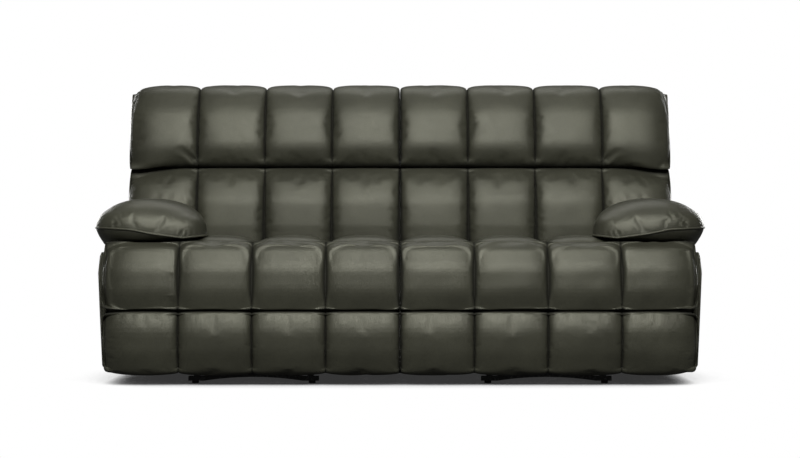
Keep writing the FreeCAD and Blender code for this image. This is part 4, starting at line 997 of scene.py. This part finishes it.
def arm_pad():
    """The arm as one closed mesh, and the points of its piped seam."""
    rings = arm_rings()
    count = len(rings[0])
    points = np.array(rings).reshape(-1, 3)
    drawn = points[:, (0, 2)]
    nose = smooth((ARM_FRONT + 95 - points[:, 1]) / 60)
    for start, angle, length, width, depth in PUCKERS:
        points[:, 1] -= 1.25 * crease(drawn, start, angle, length, width, depth) * nose
    above = smooth((points[:, 2] - 545) / 60)
    slump = np.sin(points[:, 0] / 47 + points[:, 1] / 88) + np.sin(points[:, 1] / 61 - points[:, 0] / 71 + 1.3)
    points[:, 2] += 1.6 * slump * above
    piece = build_mesh("arm_pad", points * MM, ring_faces(len(rings), count))
    work = bmesh.new()
    work.from_mesh(piece.data)
    bmesh.ops.remove_doubles(work, verts=work.verts, dist=0.00005)
    bmesh.ops.recalc_face_normals(work, faces=work.faces)
    work.to_mesh(piece.data)
    work.free()
    seam = rings[ARM_SEAM_RING][:2 * SIDE_POINTS + NOSE_POINTS] * MM
    return piece, seam


arm_piece, arm_seam = arm_pad()
print("arm pad:", len(arm_piece.data.polygons), "faces")

# %% [markdown]
# ## Panels and the shell
# The outer side, the rear, the centre side and the outside of the back are boards with a thin layer of
# wadding under the leather. A plain box has knife edges and dead flat faces; real panels roll over at
# the border and swell a little in the middle. One helper lays a grid over the board, lowers it along
# every border, also round the opening for the release cup, and closes it at the rear.

# %% Grid lines and rolled borders
BORDER = (0.0, 0.6, 1.8, 4.0, 7.5, 12.0, 18.0, 27.0)


def grid_lines(low, high, cuts, spacing=26.0):
    """Places along one side of a board, crowded beside its borders and its cutout's."""
    marks = {low, high}
    for edge, ways in [(low, (1,)), (high, (-1,))] + [(cut, (-1, 1)) for cut in cuts]:
        for way in ways:
            marks.update(edge + way * offset for offset in BORDER)
    marks.update(np.linspace(low, high, max(3, int((high - low) / spacing))))
    kept = [low]
    for mark in sorted(m for m in marks if low < m < high) + [high]:
        if mark - kept[-1] > 0.5 or mark in cuts or mark == high:
            if mark - kept[-1] <= 0.5 and kept[-1] not in cuts and len(kept) > 1:
                kept.pop()
            kept.append(mark)
    return np.array(kept)


def roll_off(first, second, roll):
    """How far a face has sunk beside its border, from its distances to two borders."""
    near = np.hypot(1 - np.clip(first / roll, 0, 1), 1 - np.clip(second / roll, 0, 1))
    return roll * (1 - np.sqrt(1 - np.clip(near, 0, 1) ** 2))


print("lines across a board 400 mm wide:", len(grid_lines(0.0, 400.0, [])))


# %% Upholstered boards
def board_faces(solid, rows, columns):
    """Quads over the front and the rear of a board's solid squares, and round all their free edges."""
    below = rows * columns
    faces = []
    for i, j in zip(*np.nonzero(solid)):
        corners = [(i, j), (i + 1, j), (i + 1, j + 1), (i, j + 1)]
        loop = [a * columns + b for a, b in corners]
        faces.append(tuple(loop))
        faces.append(tuple(k + below for k in reversed(loop)))
        for k, (di, dj) in enumerate(((0, -1), (1, 0), (0, 1), (-1, 0))):
            ni, nj = i + di, j + dj
            if not (0 <= ni < rows - 1 and 0 <= nj < columns - 1 and solid[ni, nj]):
                first, second = loop[k], loop[(k + 1) % 4]
                faces.append((second, first, first + below, second + below))
    return faces


def upholstered_board(name, across, up, face, rear, place, cutout=None, roll=9.0, swell=3.0, hole_roll=3.5):
    """A board with a rolled border. face gives the outer face's depth, place turns (across, up, depth)
    into a point, and cutout is (across low, across high, up low, up high)."""
    cut_u, cut_v = (cutout[:2], cutout[2:]) if cutout else ((), ())
    u = grid_lines(*across, [c for c in cut_u if across[0] < c < across[1]])
    v = grid_lines(*up, [c for c in cut_v if up[0] < c < up[1]])
    gu, gv = np.meshgrid(u, v, indexing="ij")
    out_u = np.minimum(gu - across[0], across[1] - gu)
    out_v = np.minimum(gv - up[0], up[1] - gv)
    sunk = roll_off(out_u, out_v, roll)
    if cutout:
        beside = np.maximum(np.maximum(cut_u[0] - gu, gu - cut_u[1]), 0)
        over = np.maximum(np.maximum(cut_v[0] - gv, gv - cut_v[1]), 0)
        sunk = np.maximum(sunk, roll_off(np.hypot(beside, over), np.full_like(gu, 1e6), hole_roll))
    centre = np.sin(math.pi * (gu - across[0]) / (across[1] - across[0]))
    centre = centre * np.sin(math.pi * (gv - up[0]) / (up[1] - up[0]))
    way = 1 if face(u[0], v[0]) > rear else -1
    depth = face(gu, gv) + way * (swell * np.sqrt(centre.clip(0)) - sunk - swell)
    outer = place(gu, gv, depth).reshape(-1, 3)
    inner = place(gu, gv, np.full_like(gu, rear)).reshape(-1, 3)
    rows, columns = len(u), len(v)
    solid = np.ones((rows - 1, columns - 1), bool)
    if cutout:
        mid_u, mid_v = np.meshgrid((u[1:] + u[:-1]) / 2, (v[1:] + v[:-1]) / 2, indexing="ij")
        solid = ~((mid_u > cut_u[0]) & (mid_u < cut_u[1]) & (mid_v > cut_v[0]) & (mid_v < cut_v[1]))
    faces = board_faces(solid, rows, columns)
    points = np.vstack((outer, inner)) * MM
    used = np.zeros(len(points), bool)
    for loop in faces:
        used[list(loop)] = True
    renumber = np.cumsum(used) - 1
    return build_mesh(name, points[used], [tuple(renumber[list(loop)]) for loop in faces])


# %% Ways to stand a board
def upright(u, v, depth):
    """A board that faces the side: across is the sofa's depth."""
    return np.stack((depth, u, v), axis=-1)


def facing_rear(u, v, depth):
    """A board that faces the rear: across is the sofa's width."""
    return np.stack((u, depth, v), axis=-1)


def leaned_back(u, v, depth):
    """A board across the back, drawn in the leaning frame."""
    return leaned(np.stack((u, depth, v), axis=-1).reshape(-1, 3) * MM).reshape(*u.shape, 3) / MM


def leaned_side(u, v, depth):
    """A board that faces the side, drawn in the leaning frame."""
    return leaned(np.stack((depth, u, v), axis=-1).reshape(-1, 3) * MM).reshape(*u.shape, 3) / MM


# %% The boards themselves
def side_face(across, up):
    """The outer side leans out to a shoulder and in again above it."""
    return np.interp(up, [52, 382, 452], [-1032.5, -1046.5, -1039.5])


def flat(depth):
    """A face at one depth all over."""
    return lambda across, up: depth + 0 * across


CUP_OPENING = (-167.6, -66.8, 329.6, 396.4)
boards = {
    "arm_side_panel": upholstered_board("arm_side_panel", (-357.2, 348.8), (52, 452), side_face, -1010.7,
                                        upright, CUP_OPENING, roll=13.0, swell=4.0),
    "inner_side_panel": upholstered_board("inner_side_panel", (-347.2, 330.8), (52, 330), flat(-2.3), -20.5,
                                          upright, (38.8, 400, 180, 400), roll=6.0, swell=1.0, hole_roll=6.0),
    "rear_panel": upholstered_board("rear_panel", (-1009.5, -2.5), (76, 228), flat(351.3), 331.2,
                                    facing_rear, roll=7.0, swell=2.5),
    "back_shell_rear": upholstered_board("back_shell_rear", (-1009.5, -2.5), (-60, 729), flat(154.0), 131.0,
                                         leaned_back, roll=12.0, swell=4.0),
    "back_shell_outer": upholstered_board("back_shell_outer", (1.0, 130.5), (-60, 726), flat(-1011.5), -989.5,
                                          leaned_side, roll=8.0, swell=2.0),
    "back_shell_inner": upholstered_board("back_shell_inner", (1.0, 130.5), (-60, 726), flat(-2.3), -22.5,
                                          leaned_side, roll=6.0, swell=1.0),
}
print("boards:", {name: len(piece.data.polygons) for name, piece in boards.items()})

# %% [markdown]
# ## Piping
# A piped seam hides a cord in a folded strip of leather, and shows as a thin roll sunk a little into
# the crease. A bevelled curve would do, but its ends and its twist are easier to hold in a mesh that
# follows the seam's own points. Piping runs round each arm's pad, and up the front of each outer side
# and back along its top.

# %% Tubes along a seam
def welt(name, path, radius, sides=8):
    """A round cord along a line of points, with closed ends."""
    path = np.array(path)
    run = np.gradient(path, axis=0)
    run /= np.linalg.norm(run, axis=1)[:, None]
    side = np.cross(run[0], (0.3, 0.4, 0.86))
    points = []
    for centre, ahead in zip(path, run):
        side = side - ahead * (side @ ahead)
        side /= np.linalg.norm(side)
        up = np.cross(ahead, side)
        for step in range(sides):
            angle = 2 * math.pi * step / sides
            points.append(centre + radius * (side * math.cos(angle) + up * math.sin(angle)))
    faces = ring_faces(len(path), sides)
    last = (len(path) - 1) * sides
    faces += [tuple(range(sides)), tuple(range(last, last + sides))]
    return build_mesh(name, np.array(points), faces)


def even_path(points, spacing):
    """The same line with its points an equal distance apart."""
    points = np.array(points)
    at = np.concatenate(([0], np.cumsum(np.linalg.norm(np.diff(points, axis=0), axis=1))))
    places = np.linspace(0, at[-1], max(3, int(at[-1] / spacing)))
    return np.column_stack([np.interp(places, at, points[:, axis]) for axis in range(3)])


def offset_seam(seam, out, up):
    """The arm's seam moved outwards from the arm's middle and up, in metres."""
    middle = np.array((SPINE_X * MM, 0.0, 0.0))
    away = seam - middle
    away[:, 1] = np.minimum(seam[:, 1] + 0.26, 0)
    away[:, 2] = 0
    away /= np.linalg.norm(away, axis=1)[:, None]
    return seam + away * out + np.array((0, 0, up))


def side_edge():
    """Up the front border of the outer side panel, over its corner and back along its top."""
    up = [(side_face(-357, z) + 10.5, -357.0, z) for z in np.linspace(62, 438, 40)]
    turn = [(side_face(-357, 438 + 12 * math.sin(a)) + 10.5, -345.0 - 12 * math.cos(a), 438 + 12 * math.sin(a))
            for a in np.linspace(0.1, math.pi / 2, 10)]
    along = [(side_face(0, 450) + 10.5, y, 450.0) for y in np.linspace(-338, 340, 60)]
    return np.array(up + turn + along) * MM


seams = {
    "side_piping": ("carriage", "panel_leather", welt("side_piping", even_path(side_edge(), 8 * MM), 3.2 * MM)),
    "arm_piping": ("carriage", "arm_leather",
                   welt("arm_piping", even_path(offset_seam(arm_seam, 0.8 * MM, 0.0), 8 * MM), 3.6 * MM)),
}
print("piping:", list(seams))

# %% [markdown]
# Two separate seats meet in the middle, and they recline one at a time. Strips of near-black felt on
# each half close the gap as painted shade: they stand in for the shadow deep in the gap and keep light
# from showing through it, and almost nothing is left between them.

# %% Dark strips between the halves, as painted shade
def felt():
    """A near-black, dull felt for the strips in the gap: painted shade for the dark gap, with no direction to its
    nap.
    """
    material, tree, shader = start_material("felt", Specular_IOR_Level=0.05)
    clouds = use(tree, CLOUDS, Patches_per_metre=60.0)
    colour = blend_colours(tree, clouds["Fine"], (0.003, 0.003, 0.002), (0.008, 0.008, 0.006))
    join(tree, colour, shader.inputs["Base Color"],
         ramp(tree, clouds["Broad"], 0.3, 0.7, 0.85, 0.98), shader.inputs["Roughness"])
    raise_surface(tree, shader, clouds["Fine"], 0.6, 0.0008)
    return material


GAP_SHADE_FELT = felt()
GAP_SHEET_FACE, GAP_SHEET_REAR = -0.02, -2.6
gap_shade_strips = {
    "back_felt_strip": ("back", upholstered_board(
        "back_felt_strip", (2.0, 60.0), (-56, 745), flat(GAP_SHEET_FACE), GAP_SHEET_REAR, leaned_side, roll=0.8, swell=0.0)),
    "seat_felt_strip": ("carriage", upholstered_board(
        "seat_felt_strip", (-330.0, 20.0), (56, 460), flat(GAP_SHEET_FACE), GAP_SHEET_REAR, upright,
        (-60.0, 30.0, 300, 500), roll=0.8, swell=0.0, hole_roll=0.8)),
    "footrest_felt_strip": ("footrest", upholstered_board(
        "footrest_felt_strip", (-424.0, -374.0), (54, 446), flat(GAP_SHEET_FACE), GAP_SHEET_REAR, upright,
        roll=0.8, swell=0.0)),
}
print("felt strips:", list(gap_shade_strips))

# %% [markdown]
# ## Air in the cushions
# Drawn shapes are too even. Real leather is cut a little larger than its filling and sewn down along
# the channels, so it swells between the seams and gathers beside them. A short cloth simulation gives
# that: the seams are held, a light pressure fills each pad, and the leather is one part in a hundred
# too large for it. No point may move further than a few millimetres, so the sizes stay as measured.
# Mirrored creases would look like a trick, so the right half has twins of all pads. Their faces start
# a fraction of a millimetre uneven, and their leather settles in its own way.

# %% Cloth simulation
SIM_FRAMES = 20
FARTHEST = 6.0 * MM


def hold_arm(piece):
    """The arm is held at its piped seam, under it and at its rear."""
    held = []
    for point in piece.data.vertices:
        x, y, z = point.co / MM
        if z < seam_height(x) + 3 or y > -30 or x < ARM_OUTER + 2 or x > ARM_INSIDE - 2:
            held.append(point.index)
    return held


def fill_with_air(pieces, slack=0.012, pressure=4.0):
    """Runs the cloth on all pieces together and keeps its result, within FARTHEST of the drawn shape."""
    for piece, held in pieces:
        pins = piece.vertex_groups.new(name="sewn")
        pins.add([int(index) for index in held], 1.0, "REPLACE")
        cloth = piece.modifiers.new("leather", "CLOTH")
        cloth.point_cache.frame_start, cloth.point_cache.frame_end = 1, SIM_FRAMES
        setting = cloth.settings
        setting.vertex_group_mass = "sewn"
        setting.quality = 5
        setting.mass = 0.05
        setting.tension_stiffness = setting.compression_stiffness = 40.0
        setting.bending_stiffness = 0.6
        setting.shrink_min = -slack
        setting.use_pressure = True
        setting.uniform_pressure_force = pressure
        setting.effector_weights.gravity = 0.0
    for frame in range(1, SIM_FRAMES + 1):
        scene.frame_set(frame)
    seen = bpy.context.evaluated_depsgraph_get()
    for piece, held in pieces:
        drawn = np.empty(len(piece.data.vertices) * 3)
        piece.data.vertices.foreach_get("co", drawn)
        filled = np.empty_like(drawn)
        piece.evaluated_get(seen).data.vertices.foreach_get("co", filled)
        move = (filled - drawn).reshape(-1, 3)
        length = np.linalg.norm(move, axis=1)
        allowed = FARTHEST * np.tanh(length / FARTHEST)
        move *= (allowed / np.maximum(length, 1e-9))[:, None]
        piece.modifiers.clear()
        piece.vertex_groups.clear()
        piece.data.vertices.foreach_set("co", drawn + move.reshape(-1))
        piece.data.update()
        print(piece.name, "moved by", round(float(length.mean()) / MM, 1), "mm, at most",
              round(float(length.max()) / MM, 1))
    scene.frame_set(1)


print("cloth runs for", SIM_FRAMES, "frames; quick look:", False)


# %% Twins for the right half
def uneven_copy(piece, seed, amount=0.5 * MM):
    """The same piece with its surface a little uneven, so its creases fall elsewhere."""
    mesh = piece.data.copy()
    twin = bpy.data.objects.new("uneven_" + piece.name, mesh)
    scene.collection.objects.link(twin)
    draw = np.random.default_rng(seed)
    waves = draw.uniform(-1, 1, (8, 3)) * 70
    starts = draw.uniform(0, 2 * math.pi, 8)
    points = np.empty(len(mesh.vertices) * 3)
    mesh.vertices.foreach_get("co", points)
    points = points.reshape(-1, 3)
    points[:, 1] += amount * np.sin(points @ waves.T + starts).mean(axis=1) * 2
    mesh.vertices.foreach_set("co", points.reshape(-1))
    return twin


pads["arm_pad"] = (arm_piece, hold_arm(arm_piece))
twins = {kind: uneven_copy(piece, 60 + k) for k, (kind, (piece, held)) in enumerate(pads.items())}
print("twins:", sorted(twins))
fill_with_air(list(pads.values()) + [(twins[kind], held) for kind, (piece, held) in pads.items()])

# %% [markdown]
# ## Stitches
# A stitch is one small shape that repeats along a line, so Geometry Nodes lay them. A line goes in,
# the nodes space it evenly and put a short round of thread at each place, turned along the line. The
# lines run beside the arm's piping and along the panels' borders, as a top stitch does, and each one
# is first laid on the finished leather, so no stitch floats.

# %% Stitch tree
def stitch_tree():
    """Line in, stitches out."""
    tree = bpy.data.node_groups.new("stitches", "GeometryNodeTree")
    face = tree.interface
    face.new_socket(name="Line", in_out="INPUT", socket_type="NodeSocketGeometry")
    for name, value in (("Spacing", 6.5 * MM), ("Length", 4.6 * MM), ("Thickness", 0.9 * MM)):
        face.new_socket(name=name, in_out="INPUT", socket_type="NodeSocketFloat").default_value = value
    face.new_socket(name="Seed", in_out="INPUT", socket_type="NodeSocketInt").default_value = 7
    face.new_socket(name="Thread", in_out="INPUT", socket_type="NodeSocketMaterial")
    face.new_socket(name="Stitches", in_out="OUTPUT", socket_type="NodeSocketGeometry")
    start = put(tree, "NodeGroupInput").outputs
    end = put(tree, "NodeGroupOutput")
    line = put(tree, "GeometryNodeMeshToCurve")
    even = put(tree, "GeometryNodeResampleCurve", mode="LENGTH")
    thread = put(tree, "GeometryNodeMeshUVSphere", inputs={"Segments": 6, "Rings": 5, "Radius": 0.5})
    along = put(tree, "GeometryNodeInputTangent")
    turn = put(tree, "FunctionNodeAlignRotationToVector", axis="Z")
    uneven = put(tree, "FunctionNodeRandomValue", data_type="FLOAT")
    uneven.inputs[2].default_value, uneven.inputs[3].default_value = 0.88, 1.08
    longer = put(tree, "ShaderNodeMath", operation="MULTIPLY")
    size = put(tree, "ShaderNodeCombineXYZ")
    placed_on = put(tree, "GeometryNodeInstanceOnPoints")
    real = put(tree, "GeometryNodeRealizeInstances")
    coat = put(tree, "GeometryNodeSetMaterial")
    join(tree, start["Line"], line.inputs["Mesh"], line.outputs[0], even.inputs["Curve"],
         start["Spacing"], even.inputs["Length"], even.outputs[0], placed_on.inputs["Points"],
         thread.outputs["Mesh"], placed_on.inputs["Instance"], along.outputs[0], turn.inputs["Vector"],
         turn.outputs[0], placed_on.inputs["Rotation"], start["Seed"], uneven.inputs["Seed"],
         start["Length"], longer.inputs[0], uneven.outputs[1], longer.inputs[1],
         start["Thickness"], size.inputs[0], start["Thickness"], size.inputs[1],
         longer.outputs[0], size.inputs[2], size.outputs[0], placed_on.inputs["Scale"],
         placed_on.outputs[0], real.inputs[0], real.outputs[0], coat.inputs["Geometry"],
         start["Thread"], coat.inputs["Material"], coat.outputs[0], end.inputs[0])
    return tree


STITCHES = stitch_tree()
print("stitch nodes:", len(STITCHES.nodes))


# %% Thread
def thread_coat():
    """Twisted polyester thread: a little glossy, with its twist as a fine slanting bump."""
    material, tree, shader = start_material("thread", Specular_IOR_Level=0.4, Sheen_Weight=0.3)
    clouds = use(tree, CLOUDS, Patches_per_metre=40.0)
    colour = blend_colours(tree, clouds["Fine"], (0.045, 0.045, 0.034), (0.075, 0.075, 0.056))
    twist = put(tree, "ShaderNodeTexWave", bands_direction="DIAGONAL", inputs={"Scale": 900.0, "Distortion": 0.5})
    join(tree, put(tree, "ShaderNodeTexCoord").outputs["Object"], twist.inputs["Vector"],
         colour, shader.inputs["Base Color"],
         ramp(tree, clouds["Fine"], 0.3, 0.7, 0.5, 0.62), shader.inputs["Roughness"])
    raise_surface(tree, shader, twist.outputs["Fac"], 0.4, 0.0003)
    return material


THREAD = thread_coat()
print("thread:", THREAD.name)


# %% Laying and sewing a line
def on_leather(piece, line, height=0.2 * MM):
    """The line's points moved onto a piece's surface."""
    laid = []
    for point in line:
        place, normal = piece.closest_point_on_mesh(Vector(point))[1:3]
        laid.append(place + normal * height)
    return laid


def sew(name, lines, seed):
    """One mesh of stitches along several lines."""
    points, edges = [], []
    for line in lines:
        first = len(points)
        points += [tuple(point) for point in line]
        edges += [(first + k, first + k + 1) for k in range(len(line) - 1)]
    mesh = bpy.data.meshes.new(name + "_line")
    mesh.from_pydata(points, edges, [])
    guide = bpy.data.objects.new(name + "_line", mesh)
    scene.collection.objects.link(guide)
    layer = guide.modifiers.new("stitches", "NODES")
    layer.node_group = STITCHES
    inputs = {item.name: item.identifier for item in STITCHES.interface.items_tree if item.in_out == "INPUT"}
    layer[inputs["Thread"]] = THREAD
    layer[inputs["Seed"]] = seed
    seen = guide.evaluated_get(bpy.context.evaluated_depsgraph_get())
    sewn = bpy.data.objects.new(name, bpy.data.meshes.new_from_object(seen))
    scene.collection.objects.link(sewn)
    bpy.data.objects.remove(guide)
    return sewn


def rectangle(u0, u1, v0, v1, spacing=12.0):
    """A closed line round a board, in millimetres."""
    corners = [(u0, v0), (u1, v0), (u1, v1), (u0, v1), (u0, v0)]
    line = []
    for (a, b), (c, d) in zip(corners, corners[1:]):
        steps = max(2, int(math.hypot(c - a, d - b) / spacing))
        line += [(a + (c - a) * k / steps, b + (d - b) * k / steps) for k in range(steps)]
    return line + [corners[0]]


# %% All rows of stitches
def beside_piping(up, out):
    """A line along the arm's seam, a little above or below it."""
    return even_path(offset_seam(arm_seam, out, up), 8 * MM)


side_lines = [[(-1.05, y * MM, z * MM) for y, z in rectangle(-340.2, 331.8, 69, 435)],
              [(-1.05, y * MM, z * MM) for y, z in rectangle(-177, -57, 320, 406)]]
rear_lines = [[(x * MM, 0.36, z * MM) for x, z in rectangle(-1000, -12, 86, 218)]]
shell_lines = [leaned(np.array([(x, 160.0, z) for x, z in rectangle(-994, -18, -44, 712)]) * MM)]
rows = {
    "arm_stitches": ("carriage", "arm_leather", [on_leather(arm_piece, beside_piping(9 * MM, 0.0)),
                                                 on_leather(arm_piece, beside_piping(-9 * MM, -1 * MM))]),
    "side_stitches": ("carriage", "panel_leather",
                      [on_leather(boards["arm_side_panel"], line) for line in side_lines]),
    "rear_stitches": ("carriage", "panel_leather", [on_leather(boards["rear_panel"], line) for line in rear_lines]),
    "shell_stitches": ("back", "panel_leather",
                       [on_leather(boards["back_shell_rear"], line) for line in shell_lines]),
}
stitches = {name: (body, finish, sew(name, lines, 11 + k))
            for k, (name, (body, finish, lines)) in enumerate(rows.items())}
print("stitches:", {name: len(piece.data.polygons) // 30 for name, (b, f, piece) in stitches.items()})

# %% [markdown]
# ## Two halves
# The sofa's halves are mirror images, so what was drawn for the left is copied to the right. Only the
# stuffed pads have a twin of their own there. A mirrored mesh is inside out, and its faces are turned
# again. Every piece then gets its finish, the body that it moves with, and the solid it stands for.

# %% Copies for both halves
RIDES = {
    "back_upper_pad": ("back", "back_upper_cushion", "back_leather"),
    "back_lower_pad": ("back", "back_lower_cushion", "back_leather"),
    "footrest_upper_pad": ("footrest", "footrest_upper_pad", "seat_leather"),
    "footrest_lower_pad": ("footrest", "footrest_lower_pad", "seat_leather"),
    "seat_pad": ("carriage", "seat_cushion", "seat_leather"),
    "arm_pad": ("carriage", "arm_pad", "arm_leather"),
    "arm_side_panel": ("carriage", "arm_side_panel", "panel_leather"),
    "inner_side_panel": ("carriage", "inner_side_panel", "panel_leather"),
    "rear_panel": ("carriage", "rear_panel", "panel_leather"),
    "back_shell_rear": ("back", "back_shell", "panel_leather"),
    "back_shell_outer": ("back", "back_shell", "panel_leather"),
    "back_shell_inner": ("back", "back_shell", "panel_leather"),
}
PADDED = {"arm_pad": 0.6, "arm_side_panel": 0.9}


def set_on_side(piece, side, name):
    """A copy of a left-hand piece on one side of the sofa."""
    mesh = piece.data.copy()
    mesh.name = name
    if side == "right":
        work = bmesh.new()
        work.from_mesh(mesh)
        for point in work.verts:
            point.co.x = -point.co.x
        bmesh.ops.reverse_faces(work, faces=work.faces)
        work.to_mesh(mesh)
        work.free()
    copy = bpy.data.objects.new(name, mesh)
    scene.collection.objects.link(copy)
    return copy


def finish_piece(kind, piece, body, node, finish, fill=None, round_off=True, coat=None, twin=None):
    """Puts a piece on both halves, with its leather, its body and what it stands for."""
    for side in SIDES:
        source = twin if twin and side == "right" else piece
        thing = set_on_side(source, side, f"{side}_{kind}")
        thing.data.materials.clear()
        thing.data.materials.append(coat or LEATHER[finish])
        if round_off:
            rounder = thing.modifiers.new("rounder", "SUBSURF")
            rounder.levels = rounder.render_levels = 1
        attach(thing, f"{side}_{body}")
        if node:
            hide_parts(f"{side}_{node}")
    for source in filter(None, (piece, twin)):
        bpy.data.objects.remove(source)


# %% All pieces in place
for kind, (piece, held) in pads.items():
    finish_piece(kind, piece, *RIDES[kind], fill=PADDED.get(kind, 0.7), twin=twins[kind])
for kind, piece in boards.items():
    finish_piece(kind, piece, *RIDES[kind], fill=PADDED.get(kind), round_off=False)
for kind, (body, finish, piece) in seams.items():
    finish_piece(kind, piece, body, None, finish, round_off=False)
for kind, (body, finish, piece) in stitches.items():
    finish_piece(kind, piece, body, None, finish, round_off=False, coat=THREAD)
for kind, (body, piece) in gap_shade_strips.items():
    finish_piece(kind, piece, body, None, "panel_leather", round_off=False, coat=GAP_SHADE_FELT)
